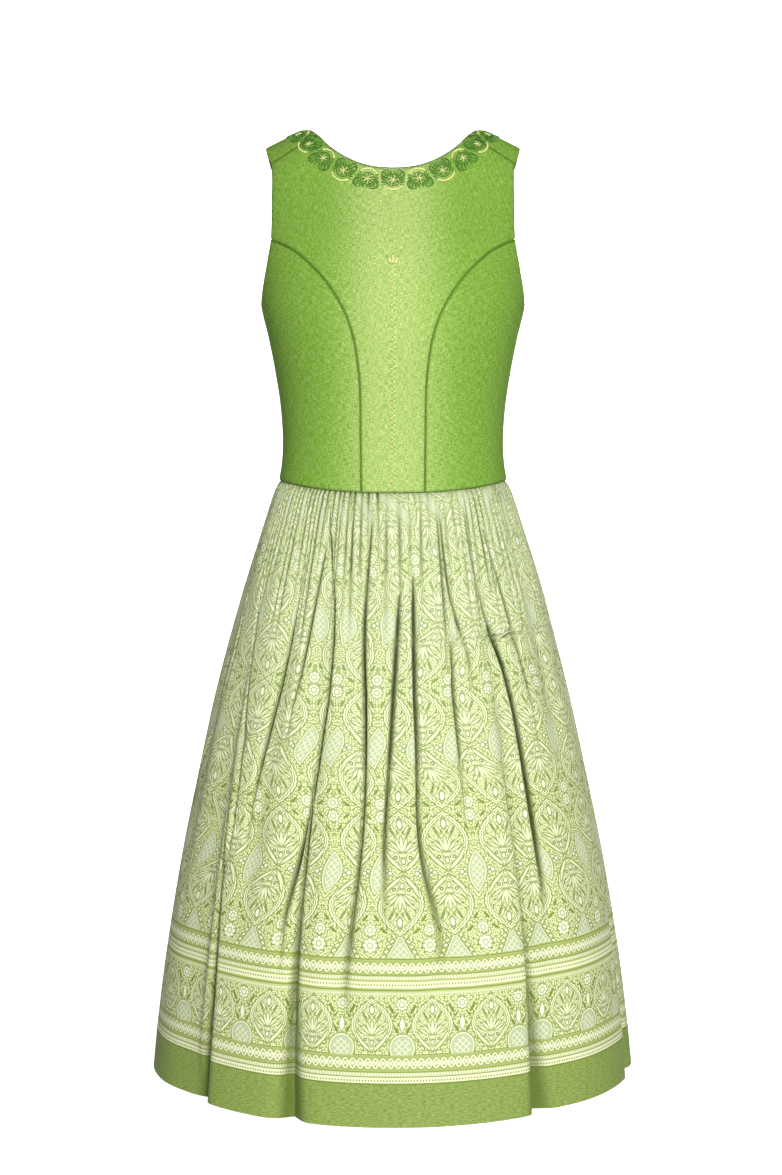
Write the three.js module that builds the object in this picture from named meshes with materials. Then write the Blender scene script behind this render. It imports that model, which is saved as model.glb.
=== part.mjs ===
// A sleeveless dirndl dress in its worn, filled-out form: a fitted bodice over a long gathered skirt.
// Millimetres, +Z up. The front faces -Y. The origin is midway between the shoulders, at the height
// of the neck end of the shoulder ridges.

import * as THREE from 'three';

// ---- Driving sizes ----

const seamGap = 0.4;          // between two pieces sewn together
const bodiceWall = 2.2;       // bodice cloth with its turned edges
const skirtWall = 1.6;        // gathered skirt cloth
const formPower = 2.4;        // roundness of a bodice section: 2 is an ellipse, more is squarer

const ridge = { neckEnd: 104, slope: 0.487, soft: 8, round: 60 };   // top of the shoulder, and its rounding
const shoulderSeam = { neckX: 86, neckZ: -13, armX: 140, armZ: -45, columns: 6 };
const neck = { halfWidth: 98, frontDrop: 57, backDrop: 50, power: 2.35 };
const waist = { z: -404, frontDip: 19 };
const junction = { front: -135, back: -128 };   // where the princess seams meet the armholes
const armLevels = { front: [-118, -100, -82, -66, -55], back: [-108, -92, -78, -62, -45, -33] };
const tipLevel = -33;         // on the front armhole, between the shoulder ridge and the shoulder seam
const underarmZ = -203;
const sideRows = 12;
const sideColumns = 5;
const fanSteps = 40;          // rounds that settle a place on the fan of the centre front

const skirt = { drop: 668, waistPower: 2.4, hemPower: 2.05 };
const piping = { radius: 1.1, sides: 6, trim: 1.5 };

// Sections of the filled-out bodice: half width, and depth before and behind the side line
const torsoSections = [
  { z: -430, half: 131, front: 96, back: 92 },
  { z: -404, half: 131, front: 96, back: 91 },
  { z: -386, half: 128.3, front: 96, back: 87 },
  { z: -358, half: 127, front: 98, back: 82 },
  { z: -316, half: 130, front: 105, back: 80 },
  { z: -275, half: 136.5, front: 115, back: 83 },
  { z: -240, half: 143.5, front: 121, back: 87 },
  { z: -203, half: 152, front: 119, back: 90 },
  { z: -150, half: 155, front: 106, back: 88 },
  { z: -100, half: 156.5, front: 84, back: 80 },
  { z: -57, half: 157.5, front: 66, back: 68 },
  { z: 10, half: 158, front: 54, back: 58 },
];

// Princess seams: distance from the centre line at each height
const frontPrincess = [
  { z: -430, x: 35.4 },
  { z: -363, x: 36 },
  { z: -303, x: 37 },
  { z: -260, x: 42.3 },
  { z: -233, x: 50 },
  { z: -210, x: 61 },
  { z: -188, x: 75.5 },
  { z: -168, x: 93 },
  { z: -150, x: 113 },
  { z: -135, x: 138.8 },
];
const backPrincess = [
  { z: -430, x: 42 },
  { z: -358, x: 43 },
  { z: -290, x: 48 },
  { z: -235, x: 58 },
  { z: -190, x: 75 },
  { z: -155, x: 100 },
  { z: -128, x: 139 },
];

// Armhole edges, from the shoulder down to the underarm
const frontArmhole = [
  { z: -203, x: 152 },
  { z: -194, x: 150 },
  { z: -180, x: 147.2 },
  { z: -160, x: 143.2 },
  { z: -135, x: 138.8 },
  { z: -90, x: 138.2 },
  { z: -55, x: 138.4 },
  { z: -45, x: 140 },
  { z: -34, x: 144.2 },
  { z: -21, x: 147.5 },
];
const backArmhole = [
  { z: -203, x: 152 },
  { z: -194, x: 150.2 },
  { z: -175, x: 147 },
  { z: -150, x: 142 },
  { z: -128, x: 139 },
  { z: -90, x: 138 },
  { z: -60, x: 138.6 },
  { z: -45, x: 141 },
  { z: -34, x: 144.4 },
  { z: -21, x: 147.5 },
];

// Sections of the skirt down its cloth, from the waist seam (0) to the hem (1)
const skirtSections = [
  { at: 0, half: 131, front: 96, back: 91 },
  { at: 0.02, half: 137, front: 102, back: 98 },
  { at: 0.08, half: 150, front: 115, back: 112 },
  { at: 0.2, half: 175, front: 137, back: 137 },
  { at: 0.35, half: 202, front: 163, back: 163 },
  { at: 0.5, half: 224, front: 184, back: 184 },
  { at: 0.65, half: 244, front: 203, back: 203 },
  { at: 0.8, half: 260, front: 219, back: 219 },
  { at: 0.92, half: 270, front: 229, back: 228 },
  { at: 1, half: 275, front: 234, back: 232 },
];

// Skirt panels by the angle round the waist: 0 is the front, 90 is +X
const skirtPanels = [
  { name: 'skirt_left', from: -117, to: -51, columns: 22 },
  { name: 'skirt_front', from: -51, to: 36, columns: 32 },
  { name: 'skirt_right', from: 36, to: 108, columns: 24 },
  { name: 'skirt_back_right', from: 108, to: 180, columns: 20 },
  { name: 'skirt_back_left', from: 180, to: 243, columns: 18 },
];

// The largest folds: troughs that run from one angle at the waist to another at the hem.
// start and end are places down the cloth; left and right are the widths in degrees of the two flanks.
const folds = [
  { top: -80, hem: -72, start: 0.0, end: 0.7, depth: 8, left: 5, right: 4 },
  { top: -60, hem: -54, start: 0.2, end: 1.4, depth: 15, left: 9, right: 3 },
  { top: -36, hem: -43, start: 0.05, end: 0.75, depth: 8, left: 4, right: 4 },
  { top: -24, hem: -23, start: 0.05, end: 1.3, depth: 9, left: 4, right: 4 },
  { top: -8, hem: -11, start: 0.0, end: 0.9, depth: 7, left: 4, right: 4 },
  { top: 3, hem: -3, start: 0.1, end: 0.85, depth: 7, left: 4, right: 4 },
  { top: 6, hem: 12, start: 0.1, end: 0.9, depth: 8, left: 3, right: 4 },
  { top: 18, hem: 25, start: 0.0, end: 0.6, depth: 7, left: 4, right: 4 },
  { top: 31, hem: 46, start: 0.0, end: 0.8, depth: 9, left: 4, right: 4 },
  { top: 34, hem: 38, start: 0.3, end: 1.4, depth: 13, left: 3, right: 9 },
  { top: 62, hem: 56, start: 0.0, end: 0.5, depth: 7, left: 4, right: 4 },
  { top: 84, hem: 76, start: 0.2, end: 1.3, depth: 11, left: 3, right: 8 },
  { top: 103, hem: 98, start: 0.0, end: 1.2, depth: 10, left: 5, right: 6 },
  { top: 126, hem: 122, start: 0.1, end: 1.3, depth: 13, left: 8, right: 3 },
  { top: 145, hem: 149, start: 0.0, end: 0.8, depth: 9, left: 5, right: 5 },
  { top: 163, hem: 160, start: 0.1, end: 1.3, depth: 12, left: 4, right: 8 },
  { top: 182, hem: 184, start: 0.0, end: 0.7, depth: 9, left: 5, right: 5 },
  { top: 200, hem: 206, start: 0.1, end: 1.3, depth: 13, left: 8, right: 4 },
  { top: 221, hem: 226, start: 0.0, end: 0.9, depth: 10, left: 5, right: 5 },
  { top: 250, hem: 249, start: 0.1, end: 1.3, depth: 12, left: 4, right: 8 },
];

const zip = {
  belowNeck: 9,
  clear: 0.4,
  slider: { width: 7, depth: 3.4, height: 11 },
  bridge: { width: 1.6, rise: 3, length: 6, thick: 0.8 },
  tab: { width: 6, height: 24, thick: 1.2, bar: 1.2, slotWidth: 3, slotLength: 5 },
};

// ---- Colours ----

const greenCloth = new THREE.MeshStandardMaterial({ color: 0x86b63c, roughness: 0.92, metalness: 0 });
const printedCloth = new THREE.MeshStandardMaterial({ color: 0xccd7a0, roughness: 0.85, metalness: 0 });
const pipingCloth = new THREE.MeshStandardMaterial({ color: 0x6f9f2c, roughness: 0.9, metalness: 0 });
const zipMetal = new THREE.MeshStandardMaterial({ color: 0x8fa86a, roughness: 0.45, metalness: 0.6 });

// ---- Curves through tables ----

// A smooth curve through one column of a table, read at a value of its key column
function read(table, key, column, at) {
  const last = table.length - 1;
  if (at <= table[0][key]) return table[0][column];
  if (at >= table[last][key]) return table[last][column];
  let i = 0;
  while (table[i + 1][key] < at) i += 1;
  const slope = (k) => {
    const before = table[Math.max(0, k - 1)];
    const after = table[Math.min(last, k + 1)];
    return (after[column] - before[column]) / (after[key] - before[key]);
  };
  const step = table[i + 1][key] - table[i][key];
  const t = (at - table[i][key]) / step;
  const rise = table[i + 1][column] - table[i][column];
  const curve = t * t * (3 - 2 * t);
  return table[i][column] + rise * curve
    + step * (slope(i) * t * (1 - t) * (1 - t) - slope(i + 1) * t * t * (1 - t));
}

const blend = (a, b, t) => a + (b - a) * t;
const radians = (degrees) => degrees * Math.PI / 180;

// ---- The bodice's form ----

function ridgeHeight(x) {
  const out = Math.abs(x) - ridge.neckEnd;
  return -ridge.slope * (out + Math.hypot(out, ridge.soft)) / 2;
}

function depthAt(x, z, side) {
  const share = Math.min(1, Math.abs(x) / read(torsoSections, 'z', 'half', z));
  return read(torsoSections, 'z', side, z) * (1 - share ** formPower) ** (1 / formPower);
}

// How far down the form a path of this length from the ridge reaches
function dropOf(path) {
  const turn = Math.abs(path) / ridge.round;
  return turn < Math.PI / 2
    ? ridge.round * (1 - Math.cos(turn))
    : ridge.round * (1 + turn - Math.PI / 2);
}

function pathTo(x, z) {
  const drop = Math.max(0, ridgeHeight(x) - z) / ridge.round;
  return ridge.round * (drop < 1 ? Math.acos(1 - drop) : drop - 1 + Math.PI / 2);
}

// A point by its distance from the centre line and its path from the shoulder ridge, positive to the front
function overForm(x, path) {
  const turn = Math.abs(path) / ridge.round;
  const reach = turn < Math.PI / 2 ? Math.sin(turn) : 1;
  const z = ridgeHeight(x) - dropOf(path);
  const depth = reach * depthAt(x, z, path > 0 ? 'front' : 'back');
  return new THREE.Vector3(x, path > 0 ? -depth : depth, z);
}

// A point by its angle round the form and its height
function aroundForm(angle, z) {
  const across = Math.sin(radians(angle));
  const ahead = Math.cos(radians(angle));
  const depth = read(torsoSections, 'z', ahead > 0 ? 'front' : 'back', z);
  return new THREE.Vector3(
    Math.sign(across) * read(torsoSections, 'z', 'half', z) * Math.abs(across) ** (2 / formPower),
    -Math.sign(ahead) * depth * Math.abs(ahead) ** (2 / formPower),
    z,
  );
}

function angleOf(x, z, front) {
  const share = Math.min(1, x / read(torsoSections, 'z', 'half', z));
  const angle = Math.asin(share ** (formPower / 2)) * 180 / Math.PI;
  return front ? angle : 180 - angle;
}

const waistHeight = (angle) => waist.z - waist.frontDip * Math.max(0, Math.cos(radians(angle))) ** 1.5;

// ---- Cloth walls ----

function normalOf(surface, a, b, stepA, stepB) {
  const alongA = surface(a + stepA, b).sub(surface(a - stepA, b));
  const alongB = surface(a, b + stepB).sub(surface(a, b - stepB));
  return alongA.cross(alongB).normalize();
}

// Moves an edge's points towards the next row or column, for the gap at a seam
function drawIn(points, along, edge, amount) {
  const rows = points.length;
  const columns = points[0].length;
  const count = along === 'row' ? columns : rows;
  for (let k = 0; k < count; k += 1) {
    const at = edge === 'first' ? 0 : (along === 'row' ? rows : columns) - 1;
    const next = edge === 'first' ? at + 1 : at - 1;
    const point = along === 'row' ? points[at][k] : points[k][at];
    const inner = along === 'row' ? points[next][k] : points[k][next];
    point.add(inner.clone().sub(point).setLength(amount));
  }
}

// Whether a direction leads out of the form: away from its middle line, and up close to the shoulder ridge
function facesOut(direction, point) {
  const lift = point.z > -ridge.round ? ridge.round + point.z : 0;
  return direction.dot(new THREE.Vector3(point.x, point.y, lift)) > 0;
}

// A closed solid between two grids of points
function shell(outer, inner) {
  const rows = outer.length;
  const columns = outer[0].length;
  const position = [];
  [outer, inner].forEach((grid) => grid.forEach((row) => row.forEach((p) => position.push(p.x, p.y, p.z))));
  const at = (side, row, column) => (side * rows + row) * columns + column;
  const index = [];
  const quad = (a, b, c, d) => index.push(a, b, c, a, c, d);
  for (let r = 0; r < rows - 1; r += 1) {
    for (let c = 0; c < columns - 1; c += 1) {
      quad(at(0, r, c), at(0, r, c + 1), at(0, r + 1, c + 1), at(0, r + 1, c));
      quad(at(1, r, c), at(1, r + 1, c), at(1, r + 1, c + 1), at(1, r, c + 1));
    }
  }
  for (let r = 0; r < rows - 1; r += 1) {
    const end = columns - 1;
    quad(at(0, r, 0), at(0, r + 1, 0), at(1, r + 1, 0), at(1, r, 0));
    quad(at(0, r, end), at(1, r, end), at(1, r + 1, end), at(0, r + 1, end));
  }
  for (let c = 0; c < columns - 1; c += 1) {
    const end = rows - 1;
    quad(at(0, 0, c), at(1, 0, c), at(1, 0, c + 1), at(0, 0, c + 1));
    quad(at(0, end, c), at(0, end, c + 1), at(1, end, c + 1), at(1, end, c));
  }
  return closedMesh(position, index);
}

// Faces the triangles outwards, by the sign of the volume they enclose
function closedMesh(position, index) {
  const corner = (k) => new THREE.Vector3().fromArray(position, 3 * index[k]);
  let volume = 0;
  for (let k = 0; k < index.length; k += 3) {
    volume += corner(k).dot(corner(k + 1).cross(corner(k + 2)));
  }
  if (volume < 0) index.reverse();
  const geometry = new THREE.BufferGeometry();
  geometry.setAttribute('position', new THREE.Float32BufferAttribute(position, 3));
  geometry.setIndex(index);
  geometry.computeVertexNormals();
  return geometry;
}

// A wall whose outer face lies on a surface, at a grid of the surface's own places. The first row is the
// waist, where the thickness runs level. The wall is drawn in at its edges, for the gap at its seams.
function clothWall(surface, places, thickness, steps) {
  const outer = places.map((row) => row.map(([a, b]) => surface(a, b)));
  const inward = places.map((row, r) => row.map(([a, b], c) => {
    const normal = normalOf(surface, a, b, ...steps);
    if (r === 0) normal.setZ(0).normalize();
    return normal.multiplyScalar(facesOut(normal, outer[r][c]) ? -thickness : thickness);
  }));
  [['column', 'first'], ['column', 'last'], ['row', 'first'], ['row', 'last']].forEach(([along, end]) => (
    drawIn(outer, along, end, seamGap / 2)
  ));
  const inner = outer.map((row, r) => row.map((point, c) => point.clone().add(inward[r][c])));
  return shell(outer, inner);
}

function mesh(name, geometry, material) {
  const piece = new THREE.Mesh(geometry, material);
  piece.name = name;
  return piece;
}

// ---- Bodice pieces ----

const spread = (from, to, count) => Array.from({ length: count + 1 }, (_, i) => blend(from, to, i / count));
const neckHeight = (x, drop) => -drop + drop * Math.min(1, Math.abs(x) / neck.halfWidth) ** neck.power;
const frontEdgeX = (z) => read(z < junction.front ? frontPrincess : frontArmhole, 'z', 'x', z);
const backEdgeX = (z) => read(z < junction.back ? backPrincess : backArmhole, 'z', 'x', z);

// Heights down a princess seam, shared by the two pieces that it joins
const seamLevels = (princess, split) => (
  spread(waistHeight(angleOf(princess[0].x, waist.z, princess === frontPrincess)), split, sideRows)
);
const frontLevels = seamLevels(frontPrincess, junction.front);
const backLevels = seamLevels(backPrincess, junction.back);
const sideSeamLevels = spread(waist.z, underarmZ, sideRows);

const shoulderPlaces = spread(0, 1, shoulderSeam.columns).map((t) => ({
  x: blend(shoulderSeam.neckX, shoulderSeam.armX, t),
  z: blend(shoulderSeam.neckZ, shoulderSeam.armZ, t),
}));
const frontNeckPlaces = spread(-1, 1, 12).map((t) => {
  const x = shoulderSeam.neckX * Math.sin(t * Math.PI / 2.4) / Math.sin(Math.PI / 2.4);
  return { x, z: Math.abs(t) === 1 ? shoulderSeam.neckZ : neckHeight(x, neck.frontDrop) };
});

// The centre front fans out from the waist to the armholes, the shoulder seams and the neck
function centreFront() {
  const right = shoulderPlaces.slice(1);
  const left = right.map(({ x, z }) => ({ x: -x, z })).reverse();
  const tops = [...left, ...frontNeckPlaces, ...right];
  const levels = [...frontLevels, ...armLevels.front, shoulderSeam.armZ];
  const edgePaths = levels.map((z) => pathTo(frontEdgeX(z), z));
  const shares = edgePaths.map((path) => (path - edgePaths[0]) / (edgePaths.at(-1) - edgePaths[0]));
  const places = shares.map((share) => tops.map((top) => {
    const fan = top.x / frontEdgeX(top.z);
    const foot = fan * frontPrincess[0].x;
    const footZ = waistHeight(angleOf(Math.abs(foot), waist.z, true));
    const path = blend(pathTo(foot, footZ), pathTo(top.x, top.z), share);
    let x = share < 1 ? fan * frontEdgeX(blend(footZ, top.z, share)) : top.x;
    for (let k = 0; share < 1 && k < fanSteps; k += 1) x = fan * frontEdgeX(ridgeHeight(x) - dropOf(path));
    return [x, path];
  }));
  return clothWall(overForm, places, bodiceWall, [0.5, 0.5]);
}

// A four-sided patch between its edges, given as lists of places
function patch({ left, right, bottom, top }) {
  const lastRow = left.length - 1;
  const lastColumn = bottom.length - 1;
  return left.map((start, r) => bottom.map((foot, c) => {
    const up = r / lastRow;
    const across = c / lastColumn;
    return [0, 1].map((k) => (
      blend(start[k], right[r][k], across) + blend(foot[k], top[c][k], up)
      - blend(
        blend(bottom[0][k], bottom[lastColumn][k], across),
        blend(top[0][k], top[lastColumn][k], across),
        up,
      )
    ));
  }));
}

// Side pieces run from a princess seam to the side seam, and up to the lower armhole
function sidePiece(front) {
  const princess = front ? frontPrincess : backPrincess;
  const armhole = front ? frontArmhole : backArmhole;
  const split = front ? junction.front : junction.back;
  const levels = front ? frontLevels : backLevels;
  const onEdge = (table, z) => [angleOf(read(table, 'z', 'x', z), z, front), z];
  const left = levels.map((z) => onEdge(princess, z));
  const right = sideSeamLevels.map((z) => [90, z]);
  const bottom = spread(left[0][0], 90, sideColumns).map((angle) => [angle, waistHeight(angle)]);
  const top = spread(0, 1, sideColumns).map((t) => (
    t < 1 ? onEdge(armhole, blend(split, underarmZ, Math.sin(t * Math.PI / 2))) : [90, underarmZ]
  ));
  const places = patch({ left, right, bottom, top });
  return clothWall(aroundForm, places, bodiceWall, [0.3, 0.5]);
}

// The back runs from the centre back over the shoulder to the seam in front of the ridge
const backNeckRows = 6;
const neckTurn = spread(0, 1, backNeckRows).map((t) => {
  const x = neck.halfWidth * Math.sin(t * Math.PI / 2);
  return [x, -pathTo(x, neckHeight(x, neck.backDrop))];
});
const neckFront = [0.5, 1].map((t) => {
  const x = blend(neck.halfWidth, shoulderSeam.neckX, t);
  return [x, pathTo(x, t < 1 ? neckHeight(x, neck.frontDrop) : shoulderSeam.neckZ)];
});

function centreBack() {
  const backEdge = [...backLevels, ...armLevels.back].map((z) => [backEdgeX(z), -pathTo(backEdgeX(z), z)]);
  const tip = frontArmhole.at(-1);
  const frontEdge = [tipLevel, shoulderSeam.armZ].map((z) => [frontEdgeX(z), pathTo(frontEdgeX(z), z)]);
  const right = [...backEdge, [tip.x, 0], ...frontEdge];
  const neckRows = backNeckRows + neckFront.length;
  const centreRows = right.length - 1 - neckRows;
  const centreFoot = -pathTo(0, waistHeight(180));
  const centreEdge = spread(centreFoot, neckTurn[0][1], centreRows).map((path) => [0, path]);
  const left = [...centreEdge, ...neckTurn.slice(1), ...neckFront];
  const bottom = spread(0, backPrincess[0].x, shoulderSeam.columns).map((x) => [x, -pathTo(x, waist.z)]);
  const top = shoulderPlaces.map(({ x, z }) => [x, pathTo(x, z)]);
  const places = patch({ left, right, bottom, top });
  return clothWall(overForm, places, bodiceWall, [0.5, 0.5]);
}

function mirrored(geometry) {
  const { array } = geometry.attributes.position;
  const position = Array.from(array, (value, k) => (k % 3 === 0 ? -value : value));
  return closedMesh(position, Array.from(geometry.index.array));
}

// ---- Piping ----

// A thin round cord along a list of frames, each with its centre and two directions across it
function cord(frames, radius, closed) {
  const { sides } = piping;
  const position = [];
  frames.forEach(({ centre, out, across }) => {
    for (let k = 0; k < sides; k += 1) {
      const turn = 2 * Math.PI * k / sides;
      const p = centre.clone().addScaledVector(out, radius * Math.cos(turn));
      p.addScaledVector(across, radius * Math.sin(turn));
      position.push(p.x, p.y, p.z);
    }
  });
  const index = [];
  const count = frames.length;
  const at = (i, k) => (i % count) * sides + (k % sides);
  for (let i = 0; i < (closed ? count : count - 1); i += 1) {
    for (let k = 0; k < sides; k += 1) {
      index.push(at(i, k), at(i, k + 1), at(i + 1, k + 1), at(i, k), at(i + 1, k + 1), at(i + 1, k));
    }
  }
  if (!closed) {
    for (let k = 1; k < sides - 1; k += 1) {
      index.push(at(0, 0), at(0, k + 1), at(0, k));
      index.push(at(count - 1, 0), at(count - 1, k), at(count - 1, k + 1));
    }
  }
  return closedMesh(position, index);
}

// The surface, its outward direction and its direction along the line, at each place of a line on it
function framesAlong(places, closed) {
  const points = places.map(([x, path]) => overForm(x, path));
  return places.map(([x, path], i) => {
    const count = points.length;
    const before = points[closed ? (i + count - 1) % count : Math.max(0, i - 1)];
    const after = points[closed ? (i + 1) % count : Math.min(count - 1, i + 1)];
    const forward = after.clone().sub(before).normalize();
    const out = normalOf(overForm, x, path, 0.5, 0.5);
    if (!facesOut(out, points[i])) out.negate();
    return { point: points[i], out, across: forward.clone().cross(out).normalize() };
  });
}

function neckPiping() {
  const front = frontNeckPlaces.map(({ x, z }) => [x, pathTo(x, z)]);
  const rightBack = [neckFront[0], ...neckTurn.slice(1).reverse()];
  const leftBack = rightBack.map(([x, path]) => [-x, path]).reverse();
  const loop = [...front, ...rightBack, neckTurn[0], ...leftBack];
  const frames = framesAlong(loop, true).map(({ point, out, across }) => {
    const toOpening = new THREE.Vector3(-point.x, -point.y, ridge.round);
    const inward = across.dot(toOpening) < 0 ? across.negate() : across;
    const centre = point.clone().addScaledVector(out, -bodiceWall / 2);
    return { centre: centre.addScaledVector(inward, piping.radius + seamGap), out, across: inward };
  });
  return cord(frames, piping.radius, true);
}

function princessPiping() {
  const places = frontLevels.map((z) => [frontEdgeX(z), pathTo(frontEdgeX(z), z)]);
  const frames = framesAlong(places, false).map(({ point, out, across }) => (
    { centre: point.clone().addScaledVector(out, piping.radius + seamGap), out, across }
  ));
  const trim = (frame, inner) => {
    frame.centre.addScaledVector(inner.centre.clone().sub(frame.centre).normalize(), piping.trim);
  };
  trim(frames[0], frames[1]);
  trim(frames.at(-1), frames.at(-2));
  return cord(frames, piping.radius, false);
}

// ---- Skirt ----

// How far the folds push a place on the skirt in or out
function foldDepth(angle, at) {
  return folds.reduce((sum, fold) => {
    const away = ((angle - blend(fold.top, fold.hem, at) + 540) % 360) - 180;
    const width = away < 0 ? fold.left : fold.right;
    const middle = (fold.start + fold.end) / 2;
    const reach = (fold.end - fold.start) / 2;
    const ends = Math.max(0, 1 - Math.abs((at - middle) / reach) ** 4);
    return sum - fold.depth * ends * Math.exp(-((away / width) ** 2));
  }, 0);
}

function skirtForm(angle, at) {
  const power = blend(skirt.waistPower, skirt.hemPower, Math.min(1, 3 * at));
  const across = Math.sin(radians(angle));
  const ahead = Math.cos(radians(angle));
  const half = read(skirtSections, 'at', 'half', at);
  const depth = read(skirtSections, 'at', ahead > 0 ? 'front' : 'back', at);
  const flat = new THREE.Vector3(
    Math.sign(across) * half * Math.abs(across) ** (2 / power),
    -Math.sign(ahead) * depth * Math.abs(ahead) ** (2 / power),
    0,
  );
  flat.setLength(flat.length() + foldDepth(angle, at));
  return flat.setZ(waistHeight(angle) - seamGap - skirt.drop * at);
}

function skirtPanel({ from, to, columns }) {
  const rows = [0, 0.02, 0.08, 0.19, 0.33, 0.49, 0.66, 0.83, 1];
  const places = rows.map((at) => spread(from, to, columns).map((angle) => [angle, at]));
  return clothWall(skirtForm, places, skirtWall, [0.6, 0.01]);
}

// ---- Zip at the centre back ----

const corners = (pairs) => pairs.map(([x, y]) => new THREE.Vector2(x, y));
const extruded = (shape, depth) => (
  new THREE.ExtrudeGeometry(shape, { depth, bevelEnabled: false, curveSegments: 8 })
);

// The bridge is a staple over the slider, seen from the side and as wide as its own strap
function bridgeGeometry({ width, rise, length, thick }) {
  const bend = rise - thick;
  const staple = new THREE.Shape(corners([
    [0, 0], [rise, 0], [rise, length], [0, length],
    [0, length - thick], [bend, length - thick], [bend, thick], [0, thick],
  ]));
  const upright = new THREE.Matrix4().makeBasis(
    new THREE.Vector3(0, 1, 0), new THREE.Vector3(0, 0, 1), new THREE.Vector3(1, 0, 0),
  );
  return extruded(staple, width).applyMatrix4(upright);
}

// The pull tab hangs from a bar under the bridge, with the bar's axis at its origin
function tabGeometry({ width, height, thick, bar, slotWidth, slotLength }) {
  const half = width / 2;
  const plate = new THREE.Shape(corners([[-half, 0], [half, 0]]));
  plate.absarc(0, half - height, half, 0, -Math.PI, true);
  const side = slotWidth / 2;
  const slotEnd = -bar - slotLength;
  const slot = corners([[-side, -bar], [-side, slotEnd], [side, slotEnd], [side, -bar]]);
  plate.holes.push(new THREE.Path(slot));
  return extruded(plate, thick).rotateX(Math.PI / 2).translate(0, thick / 2, bar / 2);
}

function zipAtBack() {
  const { slider, bridge, tab, clear } = zip;
  const atHeight = (z) => overForm(0, -pathTo(0, z));
  const top = atHeight(neckHeight(0, neck.backDrop) - zip.belowNeck);
  const along = atHeight(top.z - tab.height).sub(top);
  const holder = new THREE.Group();
  holder.position.copy(top);
  holder.rotation.x = Math.atan2(along.y, -along.z);
  const block = new THREE.BoxGeometry(slider.width, slider.depth, slider.height);
  const body = mesh('zip_slider', block, zipMetal);
  body.position.set(0, clear + slider.depth / 2, -slider.height / 2);
  const overBody = 2 * clear + slider.depth;
  const staple = mesh('zip_bridge', bridgeGeometry(bridge), zipMetal);
  staple.position.set(-bridge.width / 2, overBody, -(slider.height + bridge.length) / 2);
  const pull = mesh('zip_tab', tabGeometry(tab), zipMetal);
  pull.position.set(0, overBody + (bridge.rise - bridge.thick) / 2, -slider.height / 2);
  holder.add(body, staple, pull);
  return holder;
}

// ---- The dress ----

const dress = new THREE.Group();
dress.add(mesh('centre_front', centreFront(), greenCloth));
[
  ['side_front', sidePiece(true), greenCloth],
  ['side_back', sidePiece(false), greenCloth],
  ['centre_back', centreBack(), greenCloth],
  ['princess_piping', princessPiping(), pipingCloth],
].forEach(([name, geometry, material]) => {
  dress.add(mesh(`${name}_right`, geometry, material));
  dress.add(mesh(`${name}_left`, mirrored(geometry), material));
});
dress.add(mesh('neck_piping', neckPiping(), pipingCloth));
skirtPanels.forEach((panel) => dress.add(mesh(panel.name, skirtPanel(panel), printedCloth)));
dress.add(zipAtBack());

export default dress;
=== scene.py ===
import math

import bmesh
import bpy
import numpy as np
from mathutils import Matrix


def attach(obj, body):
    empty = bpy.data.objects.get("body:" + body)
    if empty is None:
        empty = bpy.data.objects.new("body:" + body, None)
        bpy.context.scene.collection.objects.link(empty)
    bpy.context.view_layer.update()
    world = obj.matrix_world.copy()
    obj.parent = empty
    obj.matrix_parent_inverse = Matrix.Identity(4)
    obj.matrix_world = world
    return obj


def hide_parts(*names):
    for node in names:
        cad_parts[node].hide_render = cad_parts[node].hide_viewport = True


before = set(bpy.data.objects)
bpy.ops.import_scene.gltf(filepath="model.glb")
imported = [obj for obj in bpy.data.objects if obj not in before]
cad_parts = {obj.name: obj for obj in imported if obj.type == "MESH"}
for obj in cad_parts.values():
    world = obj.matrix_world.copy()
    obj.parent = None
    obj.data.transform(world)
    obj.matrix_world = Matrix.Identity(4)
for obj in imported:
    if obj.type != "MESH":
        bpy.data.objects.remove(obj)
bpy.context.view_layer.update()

# A dirndl dress: a fitted green bodice with piping and hand embroidery, and a long gathered skirt
# with a printed border.
# The forms are worked out in millimetres and put into the meshes in metres.
mm = 0.001
rng = np.random.default_rng(11)

bodice = {
    "power": 2.4,
    "z": [-430, -404, -386, -358, -316, -275, -240, -203, -150, -100, -57, 10],
    "half": [131, 131, 128.3, 127, 130, 136.5, 143.5, 152, 155, 156.5, 157.5, 158],
    "front": [96, 96, 96, 98, 105, 115, 121, 119, 106, 84, 66, 54],
    "back": [92, 91, 87, 82, 80, 83, 87, 90, 88, 80, 68, 58],
    "wall": 1.5,          # cloth with its turned edges
    "roll": 0.9,          # how far an edge turns in at its seam
    "rollWidth": 1.15,
}
ridge = {"neckEnd": 104, "slope": 0.487, "soft": 8, "round": 60}
shoulder = {"neckX": 86, "neckZ": -13, "armX": 140, "armZ": -45}
neck = {"halfWidth": 98, "frontDrop": 57, "backDrop": 50, "power": 2.35}
waist = {"z": -404, "frontDip": 19}
junction = {"front": -135, "back": -128}      # where the princess seams meet the armholes
underarm = -203
seams = {
    "frontPrincess": {
        "z": [-430, -363, -303, -260, -233, -210, -188, -168, -150, -135],
        "x": [35.4, 36, 37, 42.3, 50, 61, 75.5, 93, 113, 138.8]},
    "backPrincess": {
        "z": [-430, -358, -290, -235, -190, -155, -128],
        "x": [42, 43, 48, 58, 75, 100, 139]},
    "frontArmhole": {
        "z": [-203, -194, -180, -160, -135, -90, -55, -45, -34, -21],
        "x": [152, 150, 147.2, 143.2, 138.8, 138.2, 138.4, 140, 144.2, 147.5]},
    "backArmhole": {
        "z": [-203, -194, -175, -150, -128, -90, -60, -45, -34, -21],
        "x": [152, 150.2, 147, 142, 139, 138, 138.6, 141, 144.4, 147.5]},
}


def smooth(t):
    t = np.clip(t, 0, 1)
    return t * t * (3 - 2 * t)


def blend(a, b, t):
    return a + (b - a) * t


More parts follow.
